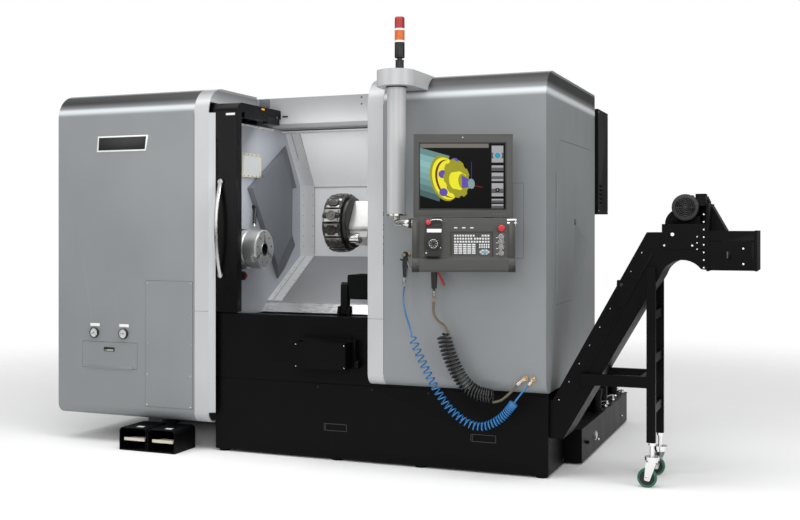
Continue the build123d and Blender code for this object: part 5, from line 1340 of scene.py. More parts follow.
@dataclass
class Turret:
    """The tool turret on its slanted slide, with plugs and tool blocks on its flats."""

    left: float = -1240
    centre: Span = (312, 1208)
    width: float = 110
    reach: float = 146.8
    stations: int = 12

    def station(self, form: Form, index: int) -> None:
        """One flat: a ground pad with a round plug, or with a black clamping block.

        Args:
            form: the form that takes it.
            index: which flat, from 0.
        """
        mid = self.width / 2
        pad = Form().coat(TURRET_FLAT).box((6, self.width - 6), (-33, 33),
            (self.reach - 1, self.reach + 0.6), 0.4)
        if index % 2 == 0:
            pad.coat(STATION_GREY).turned(Axis.Z, [(self.reach, 0), (self.reach, 27), (self.reach + 7, 27),
                (self.reach + 9, 25), (self.reach + 9, 19), (self.reach + 6.5, 18), (self.reach + 6.5, 12),
                (self.reach + 10, 11), (self.reach + 10, 5), (self.reach + 7, 4), (self.reach + 7, 0)],
                (mid, 0), 32)
            pad.coat(TURRET_BLACK)
            for x in (14, self.width - 14):
                for y in (-24, 24):
                    pad.rod(Axis.Z, 4.5, (self.reach, self.reach + 1.6), (x, y), 0.4, 12)
        else:
            cut, half = 11, 27
            octagon = [(mid - half, -half + cut), (mid - half + cut, -half), (mid + half - cut, -half),
                (mid + half, -half + cut), (mid + half, half - cut), (mid + half - cut, half),
                (mid - half + cut, half), (mid - half, half - cut)]
            pad.coat(TURRET_BLACK).prism(Axis.Z, octagon, (self.reach, self.reach + 9), 1.6)
            pad.rod(Axis.Z, 14, (self.reach + 8, self.reach + 10.5), (mid, 0), 0.8, 24)
            for x in (12, self.width - 12):
                pad.box((x - 5, x + 5), (-31, 31), (self.reach - 1, self.reach + 4), 1)
        turn = Matrix.Translation((self.left,
            *self.centre)) @ Matrix.Rotation(tau * index / self.stations + radians(15), 4, "X")
        pad.bent(turn)
        for finish in pad.finishes:
            form.coat(finish)
        order = [form.finishes.index(finish) for finish in pad.finishes]
        for face in pad.bm.faces:
            face.material_index = order[face.material_index]
        form.bm.from_mesh(Covers.mesh_of(pad))

    def build(self) -> None:
        """Disc, stations, ring, hub bolts, housing, saddle and cover plate."""
        softened("turret_disc", [TURRET_BLACK], "turret_steel", 1.2, "turret")
        form = Form()
        for index in range(self.stations):
            self.station(form, index)
        form.piece("turret_stations", "turret_steel", "turret")
        form = Form().coat(TURRET_BLACK)
        left = self.left
        form.turned(Axis.X, [(left + 6, 0), (left + 6, 40), (left - 2, 44), (left - 2, 56), (left + 4, 58),
            (left + 10, 58)], self.centre, 48)
        form.coat(NICKEL)
        for index in range(8):
            angle = tau * index / 8
            spot = (self.centre[0] + 74 * cos(angle), self.centre[1] + 74 * sin(angle))
            form.turned(Axis.X, [(left + 16, 6), (left + 11, 6), (left + 11, 3.4), (left + 14, 3),
                (left + 14, 0)], spot, 18)
        form.piece("turret_hub", "turret_steel", "turret")
        form = Form().coat(CAP_BLACK)
        ring = left + self.width
        form.turned(Axis.X, [(ring + 1, 128), (ring + 3, 133), (ring + 19, 133), (ring + 21, 128)],
            self.centre, 64, closed=True)
        form.piece("turret_seal_ring", "machine_black", "turret")
        softened("turret_housing", [HOUSING_PALE], "pillar_silver", 2, "turret_slide")
        softened("saddle", [PANEL_PALE], "liner_steel", 1.2, "carriage")
        softened("way_cover", [PANEL_PALE], "liner_steel", 0.6, "way_cover")
        self.quill()

    def quill(self) -> None:
        """The driven-tool motor's sleeve below the turret."""
        x = self.left + self.width + 22.3
        form = Form().coat(NICKEL)
        form.turned(Axis.X, [(x + 1, 27.6), (x + 34, 27.6), (x + 36, 29.5), (x + 53, 29.5), (x + 55, 28),
            (x + 55, 20)], (250, 1129), 40)
        # The sleeve's recessed end is dark as painted shade.
        form.coat(CHUCK_DARK_AND_SHADE).turned(Axis.X, [(x + 54.6, 21), (x + 52, 18), (x + 52, 0)], (250, 1129), 40)
        form.piece("drive_sleeve", "chrome", "turret_slide")


@dataclass
class Console:
    """The operator's console on its arm: monitor, screen, keypad, buttons and hand-held unit."""

    screen_x: Span = (30, 419)
    screen_z: Span = (1268, 1566)
    face: float = -8
    scale: float = 0.922

    def at(self, u: float, v: float) -> Span:
        """The X and Z of a place given in grid steps from the screen's top left corner."""
        return self.screen_x[0] + u * self.scale, self.screen_z[1] - v * self.scale

    def case(self) -> None:
        """The two dark cases, their beige rim, side bars and corner caps."""
        softened("console_monitor", [CASE_DARK], "console_grey", 1, "console")
        softened("console_panel", [CASE_DARK], "console_grey", 1, "console")
        rim = Form(CONSOLE).coat(CASE_RIM)
        rim.box((0, 455), (-1, 6), (1603.5, 1609.2), 1.4).box((0, 455), (-1, 6), (1228, 1233), 1.4)
        rim.box((-0.2, 5), (-1, 6), (1228, 1609), 1.4).box((450, 455.2), (-1, 6), (1228, 1609), 1.4)
        rim.coat(CAP_BLACK)
        for x, z in (((24, 425), (1262, 1268)), ((24, 425), (1566, 1571)), ((24, 30), (1262, 1571)),
                ((419, 425), (1262, 1571))):
            rim.box(x, (-0.8, 1.5), z, 0.6)
        rim.coat(LABEL_WHITE).rod(Axis.Y, 2.6, (-1, 0.5), (225, 1594), 0.3, 16)
        rim.coat(KEY_GREY)
        for x in (366, 382, 398, 412):
            rim.rod(Axis.Y, 1.5, (-0.8, 0.5), (x, 1243), 0.2, 12)
        rim.piece("console_rim", "console_grey", "console")
        bars = Form(CONSOLE).coat(BAR_BEIGE)
        for left, right in ((-6.6, 23.6), (433.4, 463.6)):
            bars.box((left, right), (-16, -13.6), (1040, 1208), 1.1)
            bars.box((left + 5, right - 5), (-17, -15), (1040, 1208), 0.8)
        bars.coat(CASE_RIM)
        for left, right in ((-7.6, 25), (432, 464.6)):
            bars.box((left, right), (-27.4, -16), (1010, 1037), 2)
        bars.coat(CAP_BLACK)
        for left, right in ((-7.6, 25), (432, 464.6)):
            bars.box((left, right), (-27.2, 40), (977.6, 1009), 2.5)
        bars.piece("console_side_bars", "console_grey", "console")
        ends = Form(CONSOLE).coat(CHROME)
        ends.rod(Axis.X, 5, (426, 470), (-12, 1216), 1, 24).rod(Axis.X, 5, (426, 470), (-12, 1202), 1, 24)
        ends.coat(CAP_BLACK).rod(Axis.X, 22, (-24, -9), (30, 1201), 2, 40)
        ends.piece("console_hinge_ends", "chrome", "console")

    def picture(self) -> None:
        """The screen's picture: a turned part with a notched flange over a dark ground, beside the keys."""
        glass = Form(CONSOLE).coat(SCREEN_BLACK)
        glass.box((30.4, 418.6), (1.2, 2), (1268.4, 1565.6), 0)
        glass.piece("screen_glass", "console_grey", "console")
        drawing = Form(CONSOLE)
        left, right = self.at(0, 0)[0] + 0.6, self.at(340, 0)[0]
        drawing.coat(Glow("screen_bar", (0.16, 0.15, 0.13), 0.4)).box((left, right), (0.95, 1.2),
            (1546, 1565), 0)
        edge_top, edge_low = (Vector((0, 21)), Vector((146, 62))), (Vector((0, 258)), Vector((96, 288)))
        shades = (0.62, 1, 1.15, 1, 0.86, 0.7, 0.5, 0.3)
        teal = (0.20, 0.375, 0.37)
        for index, shade in enumerate(shades):
            first, last = index / len(shades), (index + 1) / len(shades)
            corners = [edge_top[0].lerp(edge_low[0], first), edge_top[1].lerp(edge_low[1], first),
                edge_top[1].lerp(edge_low[1], last), edge_top[0].lerp(edge_low[0], last)]
            self.patch(drawing, Glow(f"screen_teal_{index}", darker(teal, shade), 0.4),
                [tuple(c) for c in corners], 1)
        yellow, olive = Glow("screen_yellow", (0.74, 0.70, 0.03), 0.4), Glow("screen_olive",
            (0.29, 0.28, 0.02), 0.4)
        purple, brown = Glow("screen_purple", (0.11, 0.07, 0.36), 0.4), Glow("screen_brown",
            (0.14, 0.04, 0.012), 0.4)
        self.disc(drawing, olive, (121, 173), (70, 115), 14, 0.9)
        self.disc(drawing, yellow, (128, 174), (66, 106), 14, 0.86)
        self.disc(drawing, brown, (139, 175), (62, 96), 14, 0.82)
        self.disc(drawing, yellow, (150, 175), (62, 94), 14, 0.78)
        for u, v in ((112, 152), (116, 242), (171, 92)):
            self.disc(drawing, purple, (u, v), (21, 20), 10, 0.74)
        self.disc(drawing, olive, (182, 174), (64, 98), 14, 0.7, 9)
        self.patch(drawing, yellow, [(158, 144), (196, 138), (226, 156), (230, 214), (200, 232), (164, 222)],
            0.65)
        self.disc(drawing, yellow, (168, 184), (24, 42), 8, 0.6)
        self.disc(drawing, olive, (212, 188), (22, 38), 8, 0.55)
        self.patch(drawing, purple, [(206, 158), (246, 180), (250, 216), (208, 222)], 0.5)
        self.disc(drawing, Glow("screen_grey", (0.21, 0.29, 0.29), 0.4), (254, 200), (17, 25), 6, 0.45)
        self.patch(drawing, Glow("screen_blue_axis", (0.03, 0.035, 0.25), 0.4),
            [(253, 92), (256, 92), (256, 180), (253, 180)], 0.5)
        self.patch(drawing, Glow("screen_red_axis", (0.25, 0.02, 0.02), 0.4),
            [(272, 208), (310, 216), (310, 219), (272, 211)], 0.5)
        drawing.piece("screen_picture", "console_grey", "console")
        self.side_keys()

    def patch(self, form: Form, finish: Finish, points: Outline, y: float) -> None:
        """A flat coloured patch of the picture."""
        form.coat(finish).prism(Axis.Y, [self.at(u, v) for u, v in points], (y, y + 0.04), 0)

    def disc(self, form: Form, finish: Finish, middle: tuple[float, float], radii: tuple[float, float],
            lean: float, y: float, notches: int = 0) -> None:
        """A flat leaning oval of the picture, with an optional wavy rim.

        Args:
            form: the form that takes it.
            finish: its finish.
            middle: its centre, in grid steps.
            radii: its half width and half height, in grid steps.
            lean: its lean, in degrees.
            y: its front face.
            notches: the waves in its rim.
        """
        points = []
        for step in range(72):
            angle = tau * step / 72
            wave = 1 - (0.09 if notches and sin(angle * notches) > 0.55 else 0)
            u, v = radii[0] * cos(angle) * wave, radii[1] * sin(angle) * wave
            turn = radians(-lean)
            points.append((middle[0] + u * cos(turn) - v * sin(turn),
                middle[1] + u * sin(turn) + v * cos(turn)))
        self.patch(form, finish, points, y)

    def side_keys(self) -> None:
        """The column of soft keys beside the picture."""
        form = Form(CONSOLE)
        pale, mid = Glow("soft_key_pale", (0.33, 0.33, 0.34), 0.4), Glow("soft_key_mid", (0.09, 0.09, 0.095),
            0.4)
        left, right = self.at(354, 0)[0], self.at(414, 0)[0]
        for top, bottom in ((10, 96), (108, 136), (144, 188), (196, 264), (274, 294), (300, 322)):
            z = (self.at(0, bottom)[1], self.at(0, top)[1])
            form.coat(mid).box((left, right), (0.8, 1.2), z, 0.2)
            half = (z[1] - z[0]) * 0.42
            form.coat(pale).box((left + 1.5, right - 1.5), (0.6, 0.9), (z[1] - half, z[1] - 1.5), 0.1)
            if bottom - top > 40:
                form.box((left + 1.5, right - 1.5), (0.6, 0.9), (z[0] + 2, z[0] + half * 0.6), 0.1)
        middle = self.at(384, 60)
        form.coat(pale).rod(Axis.Y, 21, (0.3, 0.8), middle, 0.1, 36)
        form.coat(Glow("soft_key_teal", (0.02, 0.28, 0.4), 0.4)).rod(Axis.Y, 13, (0, 0.5), middle, 0.1, 32)
        form.coat(SCREEN_BLACK).box((middle[0] - 9, middle[0] + 9), (0.1, 0.8),
            (self.at(0, 240)[1], self.at(0, 222)[1]), 0.1)
        form.coat(pale).box((middle[0] - 3, middle[0] + 3), (0, 0.5),
            (self.at(0, 234)[1], self.at(0, 228)[1]), 0.1)
        form.piece("screen_side_keys", "console_grey", "console")

    def keypad(self) -> None:
        """The keypad in its recess: wide keys, a block of small keys, and an oval pad."""
        y = (self.face - 1.4, self.face + 1.6)
        frame_form = Form(CONSOLE).coat(CAP_BLACK)
        left, high = self.at(152, 438)
        right, low = self.at(360, 566)
        frame_form.frame((left, right), (self.face - 1.8, self.face + 1), (low, high), 2.5)
        frame_form.piece("keypad_frame", "console_grey", "console")
        keys = Form(CONSOLE).coat(KEY_PALE)

        def strip(first: float, last: float, row: float, count: int, tall: float = 9) -> None:
            """A row of keys between two places.

            Args:
                first: its left end.
                last: its right end.
                row: its top.
                count: how many keys.
                tall: the keys' height.
            """
            pitch = (last - first) / count
            for index in range(count):
                x0, z1 = self.at(first + index * pitch, row)
                x1, z0 = self.at(first + (index + 1) * pitch - 4, row + tall)
                keys.box((x0, x1), y, (z0, z1), 0.7)

        strip(168, 274, 453, 8)
        strip(305, 347, 453, 3)
        strip(168, 262, 468, 7)
        strip(266, 347, 468, 6)
        strip(168, 347, 483, 13)
        for row in range(5):
            strip(168, 278, 498 + row * 10.6, 5, 7.4)
        strip(292, 347, 498, 5)
        strip(292, 347, 510, 5)
        keys.piece("keypad_keys", "console_grey", "console")
        pad = Form(CONSOLE)
        centre = self.at(319, 539)
        pad.coat(KEY_GREY).ball((centre[0], self.face, centre[1]), (25, 2.6, 13), 28)
        pad.coat(KEY_PALE)
        for u, v in ((-17, 0), (17, 0), (-9, 8), (9, 8), (-9, -8), (9, -8)):
            pad.box((centre[0] + u - 3.5, centre[0] + u + 3.5), (self.face - 3.2, self.face - 1),
                (centre[1] + v - 2.5, centre[1] + v + 2.5), 0.8)
        pad.coat(KEY_BLUE).ball((centre[0], self.face - 1, centre[1]), (9, 3, 7), 20)
        pad.piece("keypad_oval", "console_grey", "console")
        marks = Form(CONSOLE).coat(LABEL_WHITE)
        for u in (168, 208, 248):
            (x0, z1), (x1, z0) = self.at(u, 416), self.at(u + 16, 421)
            marks.box((x0, x1), (self.face - 2.2, self.face + 0.5), (z0, z1), 0.5)
        for v in (466, 492, 520, 547):
            (x0, z1), (x1, z0) = self.at(376, v), self.at(385, v + 2.5)
            marks.box((x0, x1), (self.face - 0.3, self.face + 0.5), (z0, z1), 0)
        marks.piece("panel_marks", "console_grey", "console")

    def controls(self) -> None:
        """The stop button, the lit buttons and the chrome rings round them."""
        softened("console_estop", [STOP_RED], "stop_red", 0.8, "console_stop")
        rings = Form(CONSOLE).coat(CAP_BLACK)
        rings.turned(Axis.Y, [(self.face + 0.5, 7), (self.face - 1.6, 7.5), (self.face - 1.6, 13),
            (self.face + 0.5, 15)], (400, 1179), 36, closed=True)
        for index, z in enumerate((1140, 1116, 1090, 1065)):
            softened(f"push_button_{index + 1}", [KEY_GREY], "button_grey", 0.6, f"button_{index + 1}")
            cap = Form(CONSOLE).coat(KEY_GREY)
            cap.turned(Axis.Y, [(self.face - 7.6, 0), (self.face - 7.4, 4.6), (self.face - 6.8, 5.4),
                (self.face - 6.8, 0)], (400, z), 24)
            cap.piece(f"button_legend_{index + 1}", "button_grey", f"button_{index + 1}")
            rings.coat(NICKEL).turned(Axis.Y, [(self.face + 0.4, 10.6), (self.face - 2, 10.8),
                (self.face - 2, 13), (self.face + 0.4, 13.6)], (400, z), 32, closed=True)
        rings.piece("button_rings", "chrome", "console")

    def hand_unit(self) -> None:
        """The hand-held unit: case, label, scalloped wheel, stop and loop."""
        softened("handset", [CAP_BLACK], "console_grey", 1.2, "console")
        softened("handset_estop", [STOP_RED], "stop_red", 0.8, "handset_stop")
        front = self.face - 32
        form = Form(CONSOLE).coat(LABEL_WHITE).box((60, 126), (front - 0.9, front + 0.4), (1159, 1175), 0.4)
        form.coat(CASE_RIM).box((54, 61), (front - 2.5, front + 1), (1074, 1078), 1)
        form.coat(NICKEL).ball((57, front - 1.5, 1066), (4, 2, 4), 14).ball((121, front - 1.5, 1090),
            (3, 2, 3), 12)
        form.coat(CHROME).tube([(76, -26, 1196), (76, -26, 1213), (84, -26, 1217), (122, -26, 1217),
            (129, -26, 1213), (129, -26, 1196)], 2.2)
        form.piece("hand_unit_fittings", "console_grey", "console")
        wheel = Form(CONSOLE).coat(CAP_BLACK)
        for index in range(12):
            angle = tau * index / 12
            wheel.rod(Axis.Y, 6.5, (front - 12, front - 1.5), (89 + 25 * cos(angle), 1108 + 25 * sin(angle)),
                1.6, 14)
        wheel.coat(NICKEL).turned(Axis.Y, [(front - 11.6, 17), (front - 12.8, 18), (front - 12.8, 20),
            (front - 11.6, 21)], (89, 1108), 40, closed=True)
        wheel.coat(KEY_GREY)
        for index in range(8):
            angle = tau * index / 8
            wheel.box((89 + 12 * cos(angle) - 2.2, 89 + 12 * cos(angle) + 2.2), (front - 8.6, front - 6.6),
                (1108 + 12 * sin(angle) - 2.2, 1108 + 12 * sin(angle) + 2.2), 0.6)
        wheel.piece("hand_wheel_rim", "console_grey", "handset_wheel")
        carried("handset_wheel", CAP_BLACK)

    def build(self) -> None:
        """Arm, cases, picture, keys and hand-held unit."""
        carried("console_arm", ARM_STEEL)
        self.case()
        self.picture()
        self.keypad()
        self.controls()
        self.hand_unit()


@dataclass
class Pendant:
    """The bracket on the roof, the column that hangs from it, and the signal tower."""

    centre: Span = (-690, -150)

    def build(self) -> None:
        """Bracket, column, collar and tower."""
        softened("pendant_post", [PLAIN_SILVER], "pillar_silver", 3)
        x, y = self.centre
        form = Form().coat(NICKEL)
        form.turned(Axis.Z, [(1236, 18.5), (1236, 47), (1238, 48.6), (1246, 48.6), (1247, 46)], self.centre,
            56)
        for index in range(4):
            angle = tau * index / 4 + 0.5
            form.ball((x + 47 * cos(angle), y + 47 * sin(angle), 1241), (2.6, 2.6, 2.6), 10)
        form.coat(CAP_BLACK).turned(Axis.Z, [(1846, 46), (1846, 50), (1851, 52), (1851, 46)], self.centre,
            48, closed=True)
        form.turned(Axis.Z, [(1926, 88), (1929.5, 86), (1929.5, 84), (1926, 84)], self.centre, 64,
            closed=True)
        form.piece("column_collars", "chrome")
        self.tower()

    def tower(self) -> None:
        """The signal tower's lenses with their ribs, rings, foot and cap."""
        x, y = self.centre[0] + 12, self.centre[1] + 10
        form = Form().coat(CAP_BLACK)
        form.turned(Axis.Z, [(1928, 0), (1928, 26), (1931, 26), (1934, 21), (1940, 21), (1941, 20),
            (1976, 20), (1979, 22), (1980, 12), (1990, 12), (1990, 23), (1993, 24), (2060, 24), (2063, 23),
            (2063, 0)], (x, y), 48)
        for start, finish in ((2072, LAMP_AMBER), (2129, LAMP_RED)):
            form.coat(LABEL_WHITE).turned(Axis.Z, [(start - 9, 0), (start - 9, 24), (start - 7.5, 25),
                (start - 1.5, 25), (start, 24), (start, 0)], (x, y), 48)
            form.coat(finish)
            ribs = [(start, 0), (start, 23.4)]
            for rib in range(12):
                ribs += [(start + 1 + rib * 3.9, 23.9), (start + 2.9 + rib * 3.9, 23.9),
                    (start + 3.9 + rib * 3.9, 23.3)]
            form.turned(Axis.Z, ribs + [(start + 48, 23.4), (start + 48, 0)], (x, y), 48)
        form.coat(LAMP_RED).turned(Axis.Z, [(2177, 23.4), (2181, 23.2), (2185, 20), (2186.5, 12),
            (2186.8, 0)], (x, y), 48)
        form.piece("signal_tower", "signal_lamps", replaces=("stack_light",))


# Hoses
class CoilSide(Enum):
    """Which way a coiled hose winds."""

    RIGHT = 1
    LEFT = -1


@dataclass
class CoiledHose:
    """One coiled hose: a lead, a coil with close turns, and a tail, each on its own curve."""

    name: str
    lead: Sequence[Place]
    coil: Sequence[Place]
    tail: Sequence[Place]
    lead_radius: float
    wire_radius: float
    coil_radius: float
    turns: int
    ends: tuple[Finish, Finish]
    wound: Finish
    winding: CoilSide
    slots: tuple[str, str]
    gather: float
    steps_per_turn: int = 14

    def centreline(self, points: Sequence[Place]) -> list[Vector]:
        """The points along a route's own NURBS curve, in the part's metres.

        Args:
            points: the route's control points.

        Returns:
            The points along it.
        """
        made = spline("route", [MACHINE @ Vector(point) for point in points], CURVE_ORDER, 0)
        mesh = bpy.data.meshes.new_from_object(made.evaluated_get(bpy.context.evaluated_depsgraph_get()))
        line = [vertex.co.copy() for vertex in mesh.vertices]
        bpy.data.objects.remove(made)
        bpy.data.meshes.remove(mesh)
        return line

    def run(self, part: str, points: Sequence[Place], finish: Finish,
            slot: str) -> tuple[bpy.types.Object, float]:
        """A straight part of the hose, on the same points as its solid.

        Args:
            part: which end of the hose it is.
            points: its control points.
            finish: its finish.
            slot: not used.

        Returns:
            The curve's object and its length in metres.
        """
        made = spline(f"{self.name}_{part}_line", [MACHINE @ Vector(point) for point in points], CURVE_ORDER,
            self.lead_radius / 1000)
        made.data.materials.append(finish.material())
        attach(made, "machine")
        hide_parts(f"{self.name}_{part}")
        line = self.centreline(points)
        return made, sum((b - a).length for a, b in zip(line, line[1:]))

    def helix(self) -> tuple[bpy.types.Object, float]:
        """The coil: turns round the route's own curve.

        Returns:
            The curve's object and its length in metres.
        """
        line = self.centreline(self.coil)
        reach = [0]
        for a, b in zip(line, line[1:]):
            reach.append(reach[-1] + (b - a).length)
        per_turn = self.steps_per_turn
        count = self.turns * per_turn
        radius = (self.coil_radius - self.wire_radius) / 1000
        points = []
        frame_up = Vector((0, -1, 0))
        index = 0
        for step in range(count + 1):
            want = reach[-1] * (1 - (1 - step / count) ** self.gather)
            while index < len(reach) - 2 and reach[index + 1] < want:
                index += 1
            share = (want - reach[index]) / max(reach[index + 1] - reach[index], 1e-9)
            middle = line[index].lerp(line[index + 1], share)
            ahead, behind = line[min(index + 2, len(line) - 1)], line[max(index - 1, 0)]
            along = (ahead - behind).normalized()
            side = along.cross(frame_up).normalized()
            up = side.cross(along).normalized()
            ease = min(1, step / per_turn * 1.6, (count - step) / per_turn * 1.6)
            angle = self.winding.value * tau * step / per_turn
            points.append(middle + (side * cos(angle) + up * sin(angle)) * radius * max(ease, 0.05))
        made = spline(f"{self.name}_coil_line", points, CURVE_ORDER, self.wire_radius / 1000)
        made.data.resolution_u = 3
        made.data.bevel_resolution = 2
        made.data.materials.append(self.wound.material())
        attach(made, "machine")
        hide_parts(f"{self.name}_coil")
        return made, sum((b - a).length for a, b in zip(points, points[1:]))

    def build(self) -> None:
        """All three parts, with their lengths logged."""
        lead, lead_length = self.run("lead", self.lead, self.ends[0], self.slots[0])
        coil, coil_length = self.helix()
        tail, tail_length = self.run("tail", self.tail, self.ends[1], self.slots[0])
        LOG.info("%s lengths %.3f %.3f %.3f", self.name, lead_length, coil_length, tail_length)


AIR_HOSE = CoiledHose("air_hose", [(-692, -44, 896), (-698, -46, 846), (-690, -54, 800), (-673, -66, 750),
    (-650, -78, 704), (-638, -84, 666)], [(-638, -84, 666), (-620, -87, 616), (-596, -87, 567),
    (-567, -87, 510), (-536, -87, 450), (-501, -87, 396), (-460, -87, 340), (-412, -87, 296),
    (-360, -87, 262), (-304, -87, 246), (-250, -87, 258), (-200, -87, 288), (-162, -87, 326),
    (-132, -84, 368)], [(-132, -84, 368), (-116, -74, 392), (-98, -58, 418), (-80, -42, 440),
    (-66, -30, 458)], 4, 3.6, 22, 40, (HOSE_BLUE, HOSE_BLUE), HOSE_BLUE, CoilSide.RIGHT,
    ("hose_blue", "hose_blue"), 1.7)
COOLANT_HOSE = CoiledHose("coolant_hose", [(-539, -44, 845), (-543, -44, 800), (-538, -46, 760),
    (-512, -50, 730), (-478, -54, 714), (-462, -56, 680)], [(-486, -57, 676), (-474, -58, 622),
    (-454, -58, 568), (-433, -58, 522), (-402, -58, 470), (-362, -58, 426), (-314, -58, 400),
    (-272, -58, 391), (-242, -58, 391)], [(-242, -56, 362), (-212, -52, 366), (-184, -46, 386),
    (-160, -40, 410), (-138, -35, 436), (-118, -32, 458)], 6, 5, 37, 25, (HOSE_TAN, HOSE_TAN), HOSE_BLACK,
    CoilSide.LEFT, ("hose_tan", "hose_black"), 1.2)


@dataclass
class GunsAndFittings:
    """The two hand guns on their pegs and the hoses' wall fittings."""

    def build(self) -> None:
        """Fittings, guns and levers, with their rings and swivels."""
        softened("hose_fittings", [BRASS], "fitting_brass", 0.6)
        softened("air_gun", [NICKEL, CAP_BLACK], "gun_black", 0.6,
            choose=lambda centre, normal: 1 if centre.z > 985 else 0)
        softened("coolant_gun", [GUN_BLACK], "gun_black", 0.8)
        softened("air_gun_trigger", [NICKEL], "gun_black", 0.6, "air_trigger")
        softened("coolant_gun_trigger", [LEVER_RED], "stop_red", 0.8, "coolant_trigger")
        form = Form().coat(NICKEL)
        for x, y, z in ((-692, -44, 899), (-539, -44, 848)):
            form.turned(Axis.Z, [(z, 5), (z, 8.6), (z + 12, 8.6), (z + 13, 9.6), (z + 24, 9.6), (z + 25, 8),
                (z + 30, 8), (z + 30, 5)], (x, y), 24, closed=True)
        form.coat(BRASS).turned(Axis.Z, [(826, 6.1), (826, 9), (846, 9), (848, 6.1)], (-539.5, -44), 6,
            closed=True)
        form.piece("hose_swivels", "fitting_brass")
        ferrule = Form().coat(BRASS)
        for end, before, radius in (((-66, -30, 458), (-80, -42, 440), 7.5),
                ((-118, -32, 458), (-138, -35, 436), 9)):
            tip, back = Vector(end), Vector(before)
            run = (tip - back).normalized()
            ferrule.tube([tip - run * 16, tip + run * 6], radius, smooth=False)
            ferrule.coat(NICKEL).tube([tip - run * 6, tip - run * 1], radius + 2, smooth=False)
        ferrule.piece("hose_ferrules", "fitting_brass")


# Conveyor and tank
@dataclass
class Conveyor:
    """The chip conveyor with its geared motor, legs and casters."""

    def build(self) -> None:
        """Body, plates, bolts, motor, legs and casters."""
        softened("conveyor_trough", [MACHINE_BLACK], "machine_black", 1.4)
        softened("conveyor_motor", [MACHINE_BLACK], "machine_black", 1.2)
        softened("conveyor_legs", [MACHINE_BLACK], "machine_black", 1.6)
        self.bolts()
        self.cowl()
        self.casters()

    def bolts(self) -> None:
        """Bright and black bolts on the conveyor's side, and the plate edges that show as thin lines."""
        form = Form().coat(LABEL_WHITE)
        for x, z, radius in ((872, 1088, 4.5), (872, 1020, 4.5)):
            screw_heads(form, Axis.Y, [(x, 57.5, z)], radius, -2.4)
        screw_heads(form, Axis.Y, [(566, 64, 1150)], 8, -4)
        screw_heads(form, Axis.Y, [(x, 64, 1100) for x in (530, 653)], 4.5, -3)
        screw_heads(form, Axis.Y, [(674, 64, 1140 - 28 * step) for step in range(3)], 3, -2)
        screw_heads(form, Axis.Y, [(704, 54, 1240 - 34 * step) for step in range(8)], 3.6, -2.4)
        form.piece("conveyor_bright_bolts", "chrome")
        dark = Form().coat(NICKEL)
        for step in range(9):
            x, z = 30 + step * 48, 380 + step * 86.8
            screw_heads(dark, Axis.Y, [(x + 14, 70, z - 8)], 3, -1.4)
        screw_heads(dark.coat(CAP_BLACK), Axis.Y, [(336, 65, 918)], 8, -3)
        dark.piece("conveyor_small_bolts", "chrome")
        edge = Form().coat(MACHINE_BLACK)
        edge.prism(Axis.Y, [(92, 372), (104, 372), (480, 1052), (480, 1078), (470, 1062)], (66.5, 70.5), 0.8)
        edge.box((722, 929), (58, 61), (1118, 1124), 0.8)
        edge.box((800, 822), (54.5, 58), (1040, 1078), 1)
        edge.coat(CASE_DARK).box((802, 808), (53.8, 55), (1044, 1074), 0.3)
        edge.piece("conveyor_side_trim", "machine_black")

    def cowl(self) -> None:
        """The motor's fan cowl with its grille."""
        x, z = 622, 1272
        form = Form().coat(CAP_BLACK)
        form.turned(Axis.Y, [(70, 58.5), (66, 60), (62.5, 57), (61.5, 50), (61.5, 46), (64, 46), (64, 50),
            (70, 54)], (x, z), 56, closed=True)
        for radius in (12, 20, 28, 36, 43):
            form.turned(Axis.Y, [(61.2, radius), (60.4, radius + 1.2), (61.2, radius + 2.4),
                (62.6, radius + 1.2)], (x, z), 48, closed=True)
        for index in range(8):
            angle = tau * index / 8
            form.tube([(x + 6 * cos(angle), 61.6, z + 6 * sin(angle)),
                (x + 48 * cos(angle), 61.6, z + 48 * sin(angle))], 1.3, smooth=False)
        form.rod(Axis.Y, 8, (60.4, 63), (x, z), 0.8, 24)
        form.piece("motor_fan_cowl", "machine_black")

    def casters(self) -> None:
        """Chrome forks, and wheels with a green tread on a black hub."""
        for index, y in enumerate((57, 323)):
            softened(f"caster_fork_{index + 1}", [CHROME], "chrome", 0.8, f"caster_fork_{index + 1}")
            wheel = Form().coat(TREAD_GREEN)
            low, high = y - 13, y + 13
            wheel.turned(Axis.Y, [(low + 1.5, 33), (low, 36), (low, 40), (low + 4, 43.6), (low + 9, 44),
                (high - 9, 44), (high - 4, 43.6), (high, 40), (high, 36), (high - 1.5, 33)], (455, 44), 64,
                closed=True)
            wheel.coat(CAP_BLACK).turned(Axis.Y, [(low + 1.2, 33.4), (low + 4, 30), (low + 4, 15),
                (low + 0.6, 12), (low + 0.6, 5.4), (high - 0.6, 5.4), (high - 0.6, 12), (high - 4, 15),
                (high - 4, 30), (high - 1.2, 33.4)], (455, 44), 56, closed=True)
            wheel.piece(f"caster_wheel_{index + 1}_dressed", "tread_green", f"caster_wheel_{index + 1}",
                (f"caster_wheel_{index + 1}",))
            bolts = Form().coat(CHROME)
            for side in (low - 7.6, high + 4.6):
                bolts.rod(Axis.Y, 9, (side, side + 3), (455, 44), 0.8, 6)
            bolts.piece(f"caster_axle_nuts_{index + 1}", "chrome", f"caster_fork_{index + 1}")


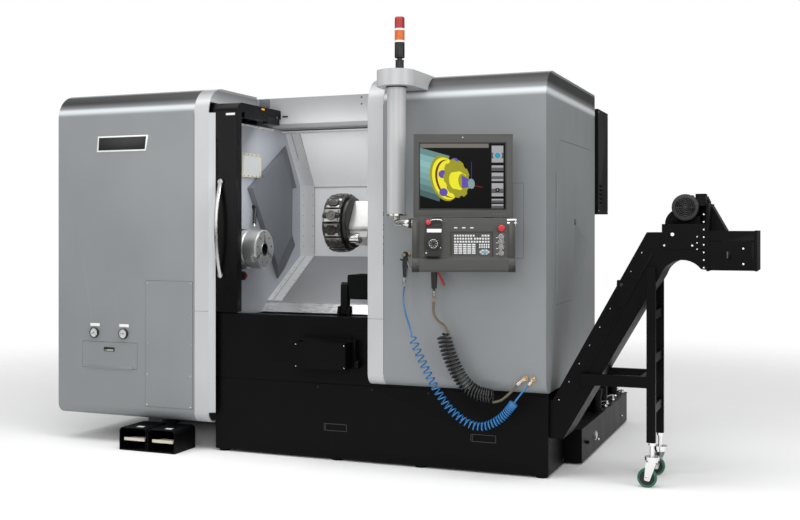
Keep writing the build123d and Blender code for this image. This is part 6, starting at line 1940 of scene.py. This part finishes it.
@dataclass
class Tank:
    """The coolant tank and the cooling unit."""

    side: float = 84

    def build(self) -> None:
        """Tank, pumps, cock and cooling unit."""
        softened("coolant_tank", [MACHINE_BLACK], "machine_black", 1.6)
        softened("cooling_unit", [MACHINE_BLACK], "machine_black", 1.6)
        x = self.side
        form = Form().coat(NICKEL)
        form.turned(Axis.X, [(x, 0), (x, 26), (x + 3, 26), (x + 4, 22), (x + 8, 22), (x + 8, 0)], (730, 90),
            24)
        form.coat(CAP_BLACK).turned(Axis.X, [(x + 3, 21), (x + 5, 20), (x + 5, 0)], (730, 90), 24)
        form.coat(NICKEL).rod(Axis.X, 6, (x + 4, x + 16), (760, 66), 0.8, 16).rod(Axis.X, 5, (x, x + 9),
            (1500, 70), 0.8, 12)
        screw_heads(form, Axis.X, [(14, y, z) for y in (1180, 1446) for z in (1280, 1840)], 4, 2)
        for index, (px, py) in enumerate(((66, 1100), (60, 1180), (66, 1330), (52, 1480), (66, 1640),
                (30, 1664))):
            top = 196 + 9 * (index % 3)
            form.rod(Axis.Z, 9, (177, top), (px, py), 1, 18).rod(Axis.Z, 13, (184, 192), (px, py), 1, 6)
            form.tube([(px, py, top - 6), (px - 20, py + 8, top - 4), (px - 46, py + 10, 180)], 5)
        form.piece("tank_fittings", "chrome")


@dataclass
class Pedals:
    """The two foot pedals under their hoods."""

    hoods: tuple[Span, Span] = ((-2289, -2119), (-2113, -1943))

    def build(self) -> None:
        """Hoods, treadles, treads and blank labels."""
        softened("pedal_housings", [MACHINE_BLACK], "machine_black", 1.4)
        for (low, high), side in zip(self.hoods, ("left", "right")):
            softened(f"treadle_{side}", [CREAM], "treadle_cream", 1, f"treadle_{side}")
            tread = Form().coat(CREAM)
            for row in range(5):
                y = -104 + row * 14
                tread.box((low + 40, high - 40), (y, y + 5), (60.5 - row * 1.7, 64.5 - row * 1.7), 1)
            tread.piece(f"treadle_ribs_{side}", "treadle_cream", f"treadle_{side}")
            middle = (low + high) / 2
            label = Form().coat(LABEL_WHITE).box((middle + 2, middle + 40), (-100, -72), (121.8, 122.5), 0.2)
            screw_heads(label.coat(CAP_BLACK), Axis.Z, [(x, y, 122) for x in (low + 34, high - 34)
                for y in (-20, 50)], 4, 1.6)
            label.piece(f"pedal_label_{side}", "pillar_silver")


def main() -> None:
    """Build the studio and every part of the machine in order."""
    Studio().build()
    for hose in (AIR_HOSE, COOLANT_HOSE):
        hose.build()
    for assembly in (Covers(), Header(), SlidingDoor(), Base(), Chamber(), Chuck(), Turret(), Console(),
            Pendant(), GunsAndFittings(), Conveyor(), Tank(), Pedals()):
        assembly.build()
        LOG.info("%s done", type(assembly).__name__)


if __name__ == "__main__":
    main()
